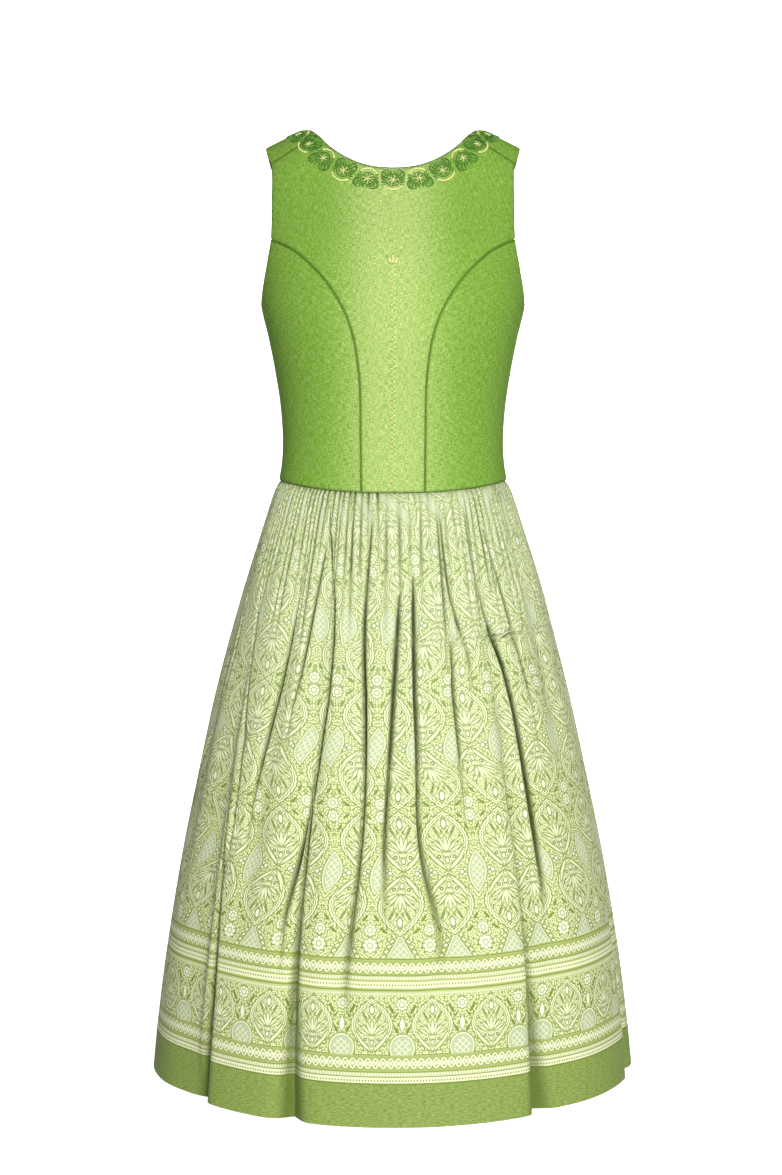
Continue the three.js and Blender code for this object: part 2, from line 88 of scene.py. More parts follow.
# A smooth curve through one column of a table, read at values of its key column
def read(table, key, column, at):
    keys = np.array(table[key], float)
    values = np.array(table[column], float)
    slopes = np.gradient(values, keys) if len(keys) < 3 else np.concatenate([
        [(values[1] - values[0]) / (keys[1] - keys[0])],
        (values[2:] - values[:-2]) / (keys[2:] - keys[:-2]),
        [(values[-1] - values[-2]) / (keys[-1] - keys[-2])]])
    at = np.clip(at, keys[0], keys[-1])
    i = np.clip(np.searchsorted(keys, at, side="right") - 1, 0, len(keys) - 2)
    step = keys[i + 1] - keys[i]
    t = (at - keys[i]) / step
    rise = (values[i + 1] - values[i]) * t * t * (3 - 2 * t)
    return values[i] + rise + step * (slopes[i] * t * (1 - t) ** 2 - slopes[i + 1] * t * t * (1 - t))


def ridgeHeight(x):
    out = np.abs(x) - ridge["neckEnd"]
    return -ridge["slope"] * (out + np.hypot(out, ridge["soft"])) / 2


def depthAt(x, z, front):
    share = np.minimum(1, np.abs(x) / read(bodice, "z", "half", z))
    depth = np.where(front, read(bodice, "z", "front", z), read(bodice, "z", "back", z))
    return depth * (1 - share ** bodice["power"]) ** (1 / bodice["power"])


def dropOf(path):
    turn = np.abs(path) / ridge["round"]
    quarter = math.pi / 2
    bent = 1 - np.cos(np.minimum(turn, quarter))
    return ridge["round"] * np.where(turn < quarter, bent, 1 + turn - quarter)


def pathTo(x, z):
    drop = np.maximum(0, ridgeHeight(x) - z) / ridge["round"]
    return ridge["round"] * np.where(drop < 1, np.arccos(1 - np.minimum(drop, 1)), drop - 1 + math.pi / 2)


# A point by its distance from the centre line and its path from the shoulder ridge, positive to the front
def overForm(x, path):
    turn = np.abs(path) / ridge["round"]
    reach = np.where(turn < math.pi / 2, np.sin(turn), 1)
    z = ridgeHeight(x) - dropOf(path)
    depth = reach * depthAt(x, z, path > 0)
    return np.stack([x + 0 * depth, np.where(path > 0, -depth, depth), z], -1)


# A point by its angle round the form and its height
def aroundForm(angle, z):
    across, ahead = np.sin(np.radians(angle)), np.cos(np.radians(angle))
    depth = np.where(ahead > 0, read(bodice, "z", "front", z), read(bodice, "z", "back", z))
    power = 2 / bodice["power"]
    x = np.sign(across) * read(bodice, "z", "half", z) * np.abs(across) ** power
    return np.stack([x, -np.sign(ahead) * depth * np.abs(ahead) ** power, z + 0 * x], -1)


def angleOf(x, z, front):
    share = np.minimum(1, x / read(bodice, "z", "half", z))
    angle = np.degrees(np.arcsin(share ** (bodice["power"] / 2)))
    return angle if front else 180 - angle


def waistHeight(angle):
    return waist["z"] - waist["frontDip"] * np.maximum(0, np.cos(np.radians(angle))) ** 1.5


def neckHeight(x, drop):
    return -drop + drop * np.minimum(1, np.abs(x) / neck["halfWidth"]) ** neck["power"]


# The front neck edge, which rises a little to meet the shoulder seam
def frontNeckZ(x):
    lift = shoulder["neckZ"] - neckHeight(shoulder["neckX"], neck["frontDrop"])
    return neckHeight(x, neck["frontDrop"]) + lift * smooth(1 - np.abs(np.abs(x) - shoulder["neckX"]) / 14)


def edgeX(z, side):
    low = read(seams[side + "Princess"], "z", "x", z)
    return np.where(z < junction[side], low, read(seams[side + "Armhole"], "z", "x", z))


# Shares from 0 to 1 in even steps, with one more line close to each end for the turned edge
def shares(count):
    even = np.linspace(0, 1, count + 1)
    return np.sort(np.concatenate([even, [0.3 / count, 1 - 0.3 / count]]))


# A four-sided patch between its edges, each a function from a share to places
def patch(left, right, bottom, top, rows, columns):
    up, across = shares(rows)[:, None, None], shares(columns)[None, :, None]
    l, r = left(up[:, 0, 0])[:, None], right(up[:, 0, 0])[:, None]
    b, t = bottom(across[0, :, 0])[None], top(across[0, :, 0])[None]
    corner = blend(blend(b[:, :1], b[:, -1:], across), blend(t[:, :1], t[:, -1:], across), up)
    places = blend(l, r, across) + blend(b, t, up) - corner
    return places[..., 0], places[..., 1]


def shoulderEdge(t):
    x = blend(shoulder["neckX"], shoulder["armX"], t)
    return np.stack([x, pathTo(x, blend(shoulder["neckZ"], shoulder["armZ"], t))], -1)


# The centre front fans out from the waist to the armholes, the shoulder seams and the neck
def centreFrontPlaces(rows=120, neckColumns=72, shoulderColumns=16):
    t = shares(shoulderColumns)[1:]
    sideX = blend(shoulder["neckX"], shoulder["armX"], t)
    sideZ = blend(shoulder["neckZ"], shoulder["armZ"], t)
    swept = np.linspace(-1, 1, neckColumns + 1) * math.pi / 2.4
    neckX = shoulder["neckX"] * np.sin(swept) / math.sin(math.pi / 2.4)
    topX = np.concatenate([-sideX[::-1], neckX, sideX])[None]
    topZ = np.concatenate([sideZ[::-1], frontNeckZ(neckX), sideZ])[None]
    foot0 = waistHeight(angleOf(seams["frontPrincess"]["x"][0], waist["z"], True))
    levels = blend(foot0, shoulder["armZ"], shares(rows))
    paths = pathTo(edgeX(levels, "front"), levels)
    share = ((paths - paths[0]) / (paths[-1] - paths[0]))[:, None]
    fan = topX / edgeX(topZ, "front")
    foot = fan * seams["frontPrincess"]["x"][0]
    footZ = waistHeight(angleOf(np.abs(foot), waist["z"], True))
    path = blend(pathTo(foot, footZ), pathTo(topX, topZ), share)
    x = fan * edgeX(blend(footZ, topZ, share), "front")
    for k in range(40):
        x = fan * edgeX(ridgeHeight(x) - dropOf(path), "front")
    return np.where(share < 1, x, topX), path


# A side piece runs from a princess seam to the side seam, and up to the lower armhole
def sidePlaces(side):
    front = side == "front"
    foot = waistHeight(angleOf(seams[side + "Princess"]["x"][0], waist["z"], front))
    start = angleOf(seams[side + "Princess"]["x"][0], foot, front)

    def princess(t):
        z = blend(foot, junction[side], t)
        return np.stack([angleOf(read(seams[side + "Princess"], "z", "x", z), z, front), z], -1)

    def sideSeam(t):
        return np.stack([90 + 0 * t, blend(waist["z"], underarm, t)], -1)

    def hem(t):
        angle = blend(start, 90, t)
        return np.stack([angle, waistHeight(angle)], -1)

    def armhole(t):
        z = blend(junction[side], underarm, np.sin(t * math.pi / 2))
        angle = angleOf(read(seams[side + "Armhole"], "z", "x", z), z, front)
        return np.stack([np.where(t < 1, angle, 90), z], -1)

    return patch(princess, sideSeam, hem, armhole, 84, 40)


# A smooth line through a few places, by the share of its steps
def through(places, t):
    table = {"at": np.linspace(0, 1, len(places)), "a": [p[0] for p in places], "b": [p[1] for p in places]}
    return np.stack([read(table, "at", "a", t), read(table, "at", "b", t)], -1)


# The back runs from the centre back over the shoulder to the seam in front of the ridge
def centreBackPlaces():
    rows, princessRows, centreRows = 21, 12, 13

    def place(x, z, sign):
        return [float(x), float(sign * pathTo(x, z))]

    armZ = [junction["back"], -108, -92, -78, -62, -45, -33]
    tip = seams["frontArmhole"]["x"][-1]
    arm = [place(edgeX(z, "back"), z, -1) for z in armZ] + [[tip, 0]]
    arm += [place(edgeX(z, "front"), z, 1) for z in (-33, shoulder["armZ"])]
    turnX = neck["halfWidth"] * np.sin(np.linspace(0, 1, 7) * math.pi / 2)
    neckBack = [place(x, neckHeight(x, neck["backDrop"]), -1) for x in turnX]
    neckSide = [place(x, frontNeckZ(x), 1) for x in (92, shoulder["neckX"])]
    centreFoot = -pathTo(0.0, waistHeight(180))

    def armEdge(t):
        z = blend(waist["z"], junction["back"], np.minimum(1, t * rows / princessRows))
        x = read(seams["backPrincess"], "z", "x", z)
        low = np.stack([x, -pathTo(x, z)], -1)
        high = through(arm, np.clip((t * rows - princessRows) / (rows - princessRows), 0, 1))
        return np.where((t * rows < princessRows)[:, None], low, high)

    def centreEdge(t):
        up = np.minimum(1, t * rows / centreRows)
        low = np.stack([0 * t, blend(centreFoot, neckBack[0][1], up)], -1)
        high = through(neckBack + neckSide, np.clip((t * rows - centreRows) / (rows - centreRows), 0, 1))
        return np.where((t * rows < centreRows)[:, None], low, high)

    def hem(t):
        x = blend(0, seams["backPrincess"]["x"][0], t)
        return np.stack([x, -pathTo(x, waist["z"])], -1)

    return patch(centreEdge, armEdge, hem, shoulderEdge, 126, 54)


# Outward directions of a grid of points, from its own neighbours
def normalsOf(points):
    normal = np.cross(np.gradient(points, axis=1), np.gradient(points, axis=0))
    return normal / np.maximum(1e-9, np.linalg.norm(normal, axis=-1, keepdims=True))


def measured(points, axis):
    step = np.linalg.norm(np.diff(points, axis=axis), axis=-1)
    return np.concatenate([np.zeros_like(np.take(step, [0], axis)), np.cumsum(step, axis)], axis)


# Turns the edges of a cloth in a little, as a seam or a hem does
def rolled(points, normal):
    across, up = measured(points, 1), measured(points, 0)
    near = np.minimum.reduce([across, across[:, -1:] - across, up, up[-1:] - up])
    turned = np.exp(-(near / bodice["rollWidth"]) ** 2)
    return points - normal * (bodice["roll"] * turned)[..., None], turned


# Builds a cloth from a grid of points in millimetres, with its thread directions as the map named cloth
# and how deep each place lies in a fold or a seam, from 0 to 1, as a point attribute that the materials use
# for painted shade there
def clothPiece(name, points, threads, hollow, wall, materials):
    rows, columns = points.shape[:2]
    mesh = bpy.data.meshes.new(name)
    bm = bmesh.new()
    bmesh.ops.create_grid(bm, x_segments=columns - 1, y_segments=rows - 1, size=0.5)
    bm.verts.ensure_lookup_table()
    spot = np.array([v.co[:2] for v in bm.verts])
    column = np.rint((spot[:, 0] + 0.5) * (columns - 1)).astype(int)
    row = np.rint((spot[:, 1] + 0.5) * (rows - 1)).astype(int)
    bm.to_mesh(mesh)
    bm.free()
    mesh.vertices.foreach_set("co", (points[row, column] * mm).astype(np.float32).ravel())
    corner = np.empty(len(mesh.loops), np.int32)
    mesh.loops.foreach_get("vertex_index", corner)
    even = np.stack([column / (columns - 1), row / (rows - 1)], -1)
    for layer, values in (("cloth", threads[row, column] * mm), ("OFBake", even)):
        mesh.uv_layers.new(name=layer).data.foreach_set("uv", values[corner].astype(np.float32).ravel())
    deep = hollow[row, column].astype(np.float32)
    mesh.attributes.new("hollow", "FLOAT", "POINT").data.foreach_set("value", deep)
    for material in materials:
        mesh.materials.append(material)
    mesh.update()
    face = mesh.polygons[len(mesh.polygons) // 2]
    if face.normal.x * face.center.x + face.normal.y * face.center.y < 0:
        mesh.flip_normals()
    piece = bpy.data.objects.new(name, mesh)
    bpy.context.collection.objects.link(piece)
    solid = piece.modifiers.new("wall", "SOLIDIFY")
    solid.thickness, solid.offset, solid.material_offset = wall * mm, -1, 1
    return finished(piece)


# Applies a piece's modifiers, parts the bake map of its two faces and shades it smooth
def finished(piece):
    solid = bpy.data.meshes.new_from_object(piece.evaluated_get(bpy.context.evaluated_depsgraph_get()))
    piece.modifiers.clear()
    piece.data = solid
    solid.shade_smooth()
    solid.set_sharp_from_angle(angle=math.radians(60))
    layer = solid.uv_layers.get("OFBake")
    if layer:
        uv = np.empty(2 * len(solid.loops), np.float32)
        layer.data.foreach_get("uv", uv)
        uv = uv.reshape(-1, 2)
        slot = np.empty(len(solid.polygons), np.int32)
        solid.polygons.foreach_get("material_index", slot)
        count = np.empty(len(solid.polygons), np.int32)
        solid.polygons.foreach_get("loop_total", count)
        inner = np.repeat(slot == 1, count)
        uv[:, 0] = np.where(inner, 0.8 + 0.2 * uv[:, 0], 0.8 * uv[:, 0])
        layer.data.foreach_set("uv", uv.ravel())
    return piece


# Curves in one mesh: each line is an array of points in millimetres with a radius at each
def cordMesh(name, lines, material, sides=2, closed=False):
    curve = bpy.data.curves.new(name, "CURVE")
    curve.dimensions = "3D"
    curve.bevel_depth = mm
    curve.bevel_resolution = sides
    curve.use_fill_caps = True
    for points, radius in lines:
        spline = curve.splines.new("POLY")
        spline.points.add(len(points) - 1)
        places = np.column_stack([points * mm, np.ones(len(points))]).astype(np.float32)
        spline.points.foreach_set("co", places.ravel())
        spline.points.foreach_set("radius", np.broadcast_to(radius, len(points)).astype(np.float32))
        spline.use_cyclic_u = closed
    curve.materials.append(material)
    drawn = bpy.data.objects.new(name + "Route", curve)
    bpy.context.collection.objects.link(drawn)
    mesh = bpy.data.meshes.new_from_object(drawn.evaluated_get(bpy.context.evaluated_depsgraph_get()))
    bpy.data.objects.remove(drawn)
    mesh.name = name
    piece = bpy.data.objects.new(name, mesh)
    bpy.context.collection.objects.link(piece)
    mesh.shade_smooth()
    return piece


# A value or colour on its way through a material's nodes, so that shader maths reads as plain expressions
class Wire:
    def __init__(self, tree, socket=None):
        self.tree = tree
        self.socket = socket

    # Any node: its settings first, then the values or wires of its sockets
    def node(self, kind, settings, sockets, out=0):
        node = self.tree.nodes.new("ShaderNode" + kind)
        for key, value in settings.items():
            if key == "stops":
                setStops(node.color_ramp, value)
            else:
                setattr(node, key, value)
        for key, value in sockets.items():
            if isinstance(value, Wire):
                self.tree.links.new(value.socket, node.inputs[key])
            else:
                node.inputs[key].default_value = value
        return Wire(self.tree, node.outputs[out])

    def math(self, operation, *values, clamp=False):
        settings = {"operation": operation, "use_clamp": clamp}
        return self.node("Math", settings, dict(enumerate((self,) + values)))

    def __add__(self, other):
        return self.math("ADD", other)

    def __sub__(self, other):
        return self.math("SUBTRACT", other)

    def __rsub__(self, other):
        return self.math("MULTIPLY_ADD", -1, other)

    def __mul__(self, other):
        return self.math("MULTIPLY", other)

    def __truediv__(self, other):
        return self.math("DIVIDE", other)

    def __pow__(self, other):
        return self.math("POWER", other)

    def __abs__(self):
        return self.math("ABSOLUTE")

    __radd__, __rmul__ = __add__, __mul__

    def times(self, factor, more):
        return self.math("MULTIPLY_ADD", factor, more)

    def least(self, other):
        return self.math("MINIMUM", other)

    def most(self, other):
        return self.math("MAXIMUM", other)

    def below(self, level):
        return self.math("LESS_THAN", level)

    def fold(self, length):
        return self.math("PINGPONG", length)

    # 1 inside an edge where a distance is under zero, fading over a soft width
    def inside(self, soft=0.5):
        return self.math("MULTIPLY_ADD", -1 / soft, 0.5, clamp=True)

    # This value or colour with another laid over it by a mask
    def over(self, other, mask):
        return self.node("Mix", {"data_type": "RGBA"}, {0: mask, 6: self, 7: other}, 2)

    def mixed(self, other, mask):
        return self.node("Mix", {"data_type": "FLOAT"}, {0: mask, 2: self, 3: other})

    def ramp(self, stops, interpolation="LINEAR"):
        return self.node("ValToRGB", {"stops": (stops, interpolation)}, {0: self})

    def part(self, out):
        return self.node("SeparateXYZ", {}, {0: self}, out)


def setStops(ramp, value):
    stops, ramp.interpolation = value
    while len(ramp.elements) < len(stops):
        ramp.elements.new(0.5)
    for element, (at, colour) in zip(ramp.elements, stops):
        element.position = at
        element.color = colour


# A colour as a painter reads it, from 0 to 255, for a shader's linear light
def paint(red, green, blue):
    def linear(value):
        value /= 255
        return value / 12.92 if value <= 0.04045 else ((value + 0.055) / 1.055) ** 2.4
    return (linear(red), linear(green), linear(blue), 1)


def newMaterial(name, roughness, sheen=0.0, metallic=0.0):
    material = bpy.data.materials.new(name)
    material.use_nodes = True
    shader = material.node_tree.nodes["Principled BSDF"]
    shader.inputs["Roughness"].default_value = roughness
    shader.inputs["Metallic"].default_value = metallic
    shader.inputs["Sheen Weight"].default_value = sheen
    shader.inputs["Sheen Roughness"].default_value = 0.4
    shader.inputs["Specular IOR Level"].default_value = 0.3
    wire = Wire(material.node_tree)
    return material, shader, wire


def feed(shader, name, wire):
    wire.tree.links.new(wire.socket, shader.inputs[name])


def threadMap(wire, scale):
    flat = wire.node("UVMap", {"uv_map": "cloth"}, {})
    return flat.part(0) * scale, flat.part(1) * scale


def bump(wire, height, strength, distance):
    return wire.node("Bump", {}, {"Strength": strength, "Distance": distance * mm, "Height": height})


# Linen-like bodice cloth: fine slubby threads both ways in a few greens, with a painted highlight at the
# centre front and painted shade towards the sides and along the seams
def linen(name, tone):
    material, shader, wire = newMaterial(name, 0.86)
    u, v = threadMap(wire, 1000)

    def slub(across, along, thick, length):
        place = wire.node("CombineXYZ", {}, {0: across * (1 / thick), 1: along * (1 / length), 2: 0.0})
        sockets = {"Vector": place, "Scale": 1.0, "Detail": 1.0}
        return wire.node("TexNoise", {"noise_dimensions": "2D"}, sockets)

    mix = slub(u, v, 0.6, 7) * 0.5 + slub(v, u, 0.6, 6) * 0.5
    colour = mix.ramp([(0.39, tone["deep"]), (0.5, tone["mid"]), (0.6, tone["pale"])])
    # painted light: a painted highlight at the centre front and painted shade towards the sides, by the
    # distance from the centre line
    aside = abs(wire.node("TexCoord", {}, {}, "Object").part(0))
    toward = aside.node("MapRange", {"interpolation_type": "SMOOTHSTEP"}, {0: aside, 1: 0.012, 2: 0.088})
    colour = colour.over(tone["pale"], (1 - toward) * tone["centre"])
    colour = colour.over(tone["side"], toward * tone["aside"])
    # painted shade along the seams and turned edges
    hollow = wire.node("Attribute", {"attribute_name": "hollow"}, {}, "Fac")
    colour = colour.over(tone["seam"], hollow * 0.75)
    feed(shader, "Base Color", colour)
    weave = (u * (math.pi / 0.55)).math("SINE") * (v * (math.pi / 0.55)).math("SINE")
    feed(shader, "Normal", bump(wire, weave * 0.3 + mix, 0.3, 0.4))
    return material


# The last four entries paint light and shade: a painted shade colour for the sides, a painted shade colour
# for the seams, and how strongly the painted highlight at the centre front and the painted side shade lie
# over the cloth
green = {"deep": paint(98, 140, 34), "mid": paint(146, 184, 74), "pale": paint(194, 214, 134),
         "side": paint(96, 150, 18), "seam": paint(46, 74, 8), "centre": 0.34, "aside": 0.58}
# the reverse has the same painted side shade and painted seam shade, weaker, and no painted highlight
reverse = {"deep": paint(128, 164, 70), "mid": paint(158, 190, 98), "pale": paint(190, 212, 134),
           "side": paint(128, 164, 70), "seam": paint(110, 140, 60), "centre": 0, "aside": 0.3}

print("bodice")
linenCloth = linen("green linen", green)
linenReverse = linen("green linen reverse", reverse)


def bodicePanel(node, points):
    normal = normalsOf(points)
    middle = points.shape[0] // 2, points.shape[1] // 2
    if normal[middle] @ (points[middle] * [1, 1, 0]) < 0:
        normal = -normal
    # how far each place turns in at an edge is kept to paint shade along the seams
    points, turned = rolled(points, normal)
    across, up = measured(points, 1), measured(points, 0)
    across = across - across[:, across.shape[1] // 2, None]
    threads = np.stack([across, up], -1)
    panel = clothPiece(node + "_cloth", points, threads, turned, bodice["wall"], [linenCloth, linenReverse])
    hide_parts(node)
    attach(panel, "dress")
    return panel


mirror = np.array([-1, 1, 1])
bodicePanel("centre_front", overForm(*centreFrontPlaces()))
for node, points in (
        ("side_front", aroundForm(*sidePlaces("front"))),
        ("side_back", aroundForm(*sidePlaces("back"))),
        ("centre_back", overForm(*centreBackPlaces()))):
    bodicePanel(node + "_right", points)
    bodicePanel(node + "_left", points * mirror)


# Twisted thread and narrow bias strips, with a fine slanting rib
def threadMaterial(name, colour, roughness, sheen=0.0):
    material, shader, wire = newMaterial(name, roughness, sheen)
    place = wire.node("TexCoord", {}, {}, "Object")
    noise = place.node("TexNoise", {}, {"Vector": place, "Scale": 700.0, "Detail": 1.0})
    darker = tuple(0.62 * value for value in colour[:3]) + (1,)
    feed(shader, "Base Color", noise.ramp([(0.35, darker), (0.6, colour)]))
    slanting = {"Vector": place, "Scale": 420.0, "Distortion": 1.0}
    rib = place.node("TexWave", {"bands_direction": "DIAGONAL"}, slanting)
    feed(shader, "Normal", bump(wire, rib, 0.5, 0.25))
    return material


# Points and outward directions on the bodice at distances from the centre line and paths from the ridge
def onForm(x, path):
    x, path = np.broadcast_arrays(np.asarray(x, float), np.asarray(path, float))
    across = overForm(x + 0.5, path) - overForm(x - 0.5, path)
    along = overForm(x, path + 0.5) - overForm(x, path - 0.5)
    points, out = overForm(x, path), np.cross(across, along)
    out /= np.linalg.norm(out, axis=-1, keepdims=True)
    lift = np.maximum(0, ridge["round"] + points[..., 2])
    away = out[..., 0] * points[..., 0] + out[..., 1] * points[..., 1] + out[..., 2] * lift
    return points, out * np.where(away < 0, -1, 1)[..., None], across, along


def frontPlace(x, z):
    x, z = np.asarray(x, float), np.asarray(z, float)
    return onForm(x, pathTo(x, z))[:2]


# The neck edge all round, from the centre front to its right and back, with the way down from it
def neckRound(count=360):
    t = np.linspace(0, math.pi / 2, count)
    x = neck["halfWidth"] * np.sin(t)
    front, back = pathTo(x, frontNeckZ(x)), -pathTo(x, neckHeight(x, neck["backDrop"]))
    halfX, halfPath = np.concatenate([x, x[-2::-1]]), np.concatenate([front, back[-2::-1]])
    x, path = np.concatenate([halfX, -halfX[-2:0:-1]]), np.concatenate([halfPath, halfPath[-2:0:-1]])
    keep = np.abs(path) > 1        # front and back meet at the ridge
    x, path = x[keep], path[keep]
    points, out, _, _ = onForm(x, path)
    forward = np.roll(points, -1, 0) - np.roll(points, 1, 0)
    down = np.cross(forward, out)
    down /= np.linalg.norm(down, axis=1, keepdims=True)
    toward = points - [0, 0, ridge["round"]]
    down *= np.where((down * toward).sum(1) < 0, -1, 1)[:, None]
    return x, path, points, out, down


embroidery = {
    "below": 16,                   # its middle line below the neck edge
    "rings": 23, "radius": 12.6,
    "arc": 58, "arcThread": 1.1,  # half its angle, and its thread
    "lift": 0.9,
}
# Leaves of the scrolls beside each ring: foot, tip and half width, mirrored to both sides,
# opposite the light arc
scrollLeaves = [
    ((0.4, 7), (1.6, 12.8), 1.1), ((2.5, 6.5), (5, 13.2), 1.2), ((4.5, 5.5), (9.2, 11.8), 1.4),
    ((6, 3), (12.3, 8.2), 1.4), ((7.5, 0.5), (13.6, 3.6), 1.3), ((7.7, -2), (13.4, -1.6), 1.2),
    ((8.2, -4.4), (12.3, -6.4), 1.0), ((9.6, 9.6), (13.2, 11.6), 0.9),
]
neckX, neckPath, neckPoints, neckOut, neckDown = neckRound()


# Places on the bodice along the embroidery's middle line, and down from it
def neckPlace(along, down):
    line = neckPoints + neckDown * embroidery["below"]
    step = np.linalg.norm(np.roll(line, -1, 0) - line, axis=1)
    length = np.concatenate([[0], np.cumsum(step)])

    def at(column):
        return np.interp(along % length[-1], length, np.append(column, column[0]))

    reach = embroidery["below"] + down
    target = np.stack([at(neckPoints[:, k]) + at(neckDown[:, k]) * reach for k in range(3)], -1)
    x, path = at(neckX), at(neckPath)
    for k in range(6):
        points, out, across, up = onForm(x, path)
        miss = target - points
        a, b, c = (across * across).sum(-1), (across * up).sum(-1), (up * up).sum(-1)
        p, q = (across * miss).sum(-1), (up * miss).sum(-1)
        whole = np.maximum(1e-3, a * c - b * b)
        x = x + np.clip((c * p - b * q) / whole, -5, 5)
        path = path + np.clip((a * q - b * p) / whole, -5, 5)
    points, out, _, _ = onForm(x, path)
    return points, out, length[-1]


# A stitched line between two places, thickest in its middle, or a line through several
def stitch(centre, side, foot, tip, half, lift, bow=0.0):
    t = np.linspace(0, 1, 6)
    (x0, y0), (x1, y1) = foot, tip
    bend = bow * np.sin(t * math.pi)
    x = blend(x0, x1, t) + bend * (y1 - y0)
    y = blend(y0, y1, t) - bend * (x1 - x0)
    points, out, _ = neckPlace(centre + x * side[0], y * side[1])
    return points + out * lift, half * np.sin(blend(0.25, math.pi - 0.15, t))


def ringArc(centre, side, angles, radius, thread, middle=(0, 0)):
    t = np.radians(np.linspace(*angles, 17))
    along = centre + middle[0] + radius * np.sin(t)
    points, out, _ = neckPlace(along, side * (middle[1] + radius * np.cos(t)))
    ends = np.minimum(1, 0.35 + 2.2 * np.sin(np.linspace(0, math.pi, 17)))
    return points + out * embroidery["lift"], thread * ends


def neckEmbroidery():
    light, dark, leaf = [], [], []
    around = neckPlace(np.array([0.0]), np.array([0.0]))[2]
    # on each side of the one at the centre front, so that the zip lies between two
    sideRings = embroidery["rings"] // 2
    for k in range(-sideRings, sideRings + 1):
        centre = around * k / embroidery["rings"]
        side = 1 if k % 2 == 0 else -1
        radius, arc = embroidery["radius"], embroidery["arc"]
        light.append(ringArc(centre, side, (-arc, arc), radius, embroidery["arcThread"]))
        for turn in range(12):
            angle = math.radians(30 * turn)
            ray = math.sin(angle), math.cos(angle)
            foot, tip = (2.2 * ray[0], 2.2 * ray[1]), (7.4 * ray[0], 7.4 * ray[1])
            if turn % 2:
                light.append(stitch(centre, (1, side), (0, 0), (5.2 * ray[0], 5.2 * ray[1]), 0.65, 1.0))
                dark.append(stitch(centre, (1, side), foot, tip, 0.5, 0.3))
            else:
                leaf.append(stitch(centre, (1, side), foot, tip, 0.9, 0.25))
                dark.append(stitch(centre, (1, side), foot, tip, 0.4, 0.95, 0.2))
        dark.append(ringArc(centre, side, (-178, 178), 7.9, 0.35))
        for hand in (-1, 1):
            for foot, tip, half in scrollLeaves:
                leaf.append(stitch(centre, (hand, -side), foot, tip, half, 0.2, 0.12))
                dark.append(stitch(centre, (hand, -side), foot, tip, 0.42, 0.85, 0.3))
            dark.append(ringArc(centre, -side, (hand * -20, hand * 160), 6.2, 0.45, (hand * 7.4, 6.8)))
            dark.append(ringArc(centre, side, (hand * 78, hand * 128), radius - 2.5, 0.5))
    return light, dark, leaf


zigzag = {"top": -173, "step": 2.65, "half": 2.4, "thread": 0.5, "lift": 0.35, "over": 0.5}


# Herringbone stitches down the centre front, under a sprig of three leaves
def centreStitches():
    light, dark = [], []
    foot = float(waistHeight(0.0)) + 3
    count = int((zigzag["top"] - foot) / zigzag["step"])
    t = np.linspace(0, 1, 4)
    for k in range(count):
        hand = 1 if k % 2 else -1
        z = zigzag["top"] - k * zigzag["step"]
        x = blend(-hand * zigzag["half"], hand * zigzag["half"], t)
        points, out = frontPlace(x, blend(z + zigzag["over"], z - zigzag["step"] - zigzag["over"], t))
        raised = zigzag["lift"] + 0.5 * np.sin(t * math.pi)
        light.append((points + out * raised[:, None], zigzag["thread"]))
        hole = np.full(3, z - zigzag["step"] * 1.5)
        points, out = frontPlace(np.linspace(hand * 0.4, hand * 1.6, 3) * -1, hole)
        dark.append((points + out * 0.1, 0.55))
    for x, z in ((0, -159.5), (-6.6, -163), (6.6, -163)):
        t = np.linspace(0, 1, 6)
        points, out = frontPlace(blend(0.16 * x, x, t), blend(zigzag["top"] + 1, z, t))
        light.append((points + out * 0.4, 1.6 * np.sin(blend(0.3, math.pi - 0.15, t))))
        dark.append((points + out * 0.95, 0.35))
    return light, dark


print("piping and embroidery")
creamThread = threadMaterial("cream thread", paint(246, 250, 164), 0.45, 0.2)
leafThread = threadMaterial("leaf green thread", paint(122, 178, 62), 0.5, 0.2)
darkThread = threadMaterial("dark green thread", paint(50, 104, 20), 0.5, 0.1)
# The piping is coloured darker than the bodice: partly the cord's own tone, partly painted shade for the
# dark line along the piping
pipingCloth = threadMaterial("piping cloth", paint(104, 146, 40), 0.8)


def trimming(name, lines, material, nodes=(), sides=1, closed=False):
    piece = cordMesh(name, lines, material, sides, closed)
    if nodes:
        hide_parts(*nodes)
    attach(piece, "dress")
    return piece


pipe = {"radius": 0.8, "sunk": 0.35, "edge": 0.9}
level = np.linspace(waistHeight(angleOf(35.4, waist["z"], True)) + 1.2, junction["front"] - 1.5, 120)
points, out = frontPlace(edgeX(level, "front"), level)
for hand, node in ((1, "princess_piping_right"), (-1, "princess_piping_left")):
    line = (points + out * pipe["sunk"]) * [hand, 1, 1]
    trimming(node + "_cord", [(line, pipe["radius"])], pipingCloth, (node,), 4)
line = neckPoints - neckOut * bodice["wall"] / 2 - neckDown * pipe["edge"]
trimming("neck_piping_cord", [(line[::2], pipe["radius"])], pipingCloth, ("neck_piping",), 4, True)
light, dark, leaf = neckEmbroidery()
more, holes = centreStitches()
trimming("embroidery_light", light, creamThread)
trimming("embroidery_dark", dark, darkThread)
trimming("embroidery_leaves", leaf, leafThread)
trimming("centre_stitches", more, creamThread)
trimming("centre_stitches_dark", holes, darkThread)

# The zip's coil and the stitches beside it, down the centre back
zipper = {"top": -88, "pitch": 1.6, "half": 1.5, "thread": 0.42, "seamAt": 5.2, "stitch": 2.4, "every": 3.4}


def backPlace(x, z):
    x, z = np.broadcast_arrays(np.asarray(x, float), np.asarray(z, float))
    return onForm(x, -pathTo(x, z))[:2]


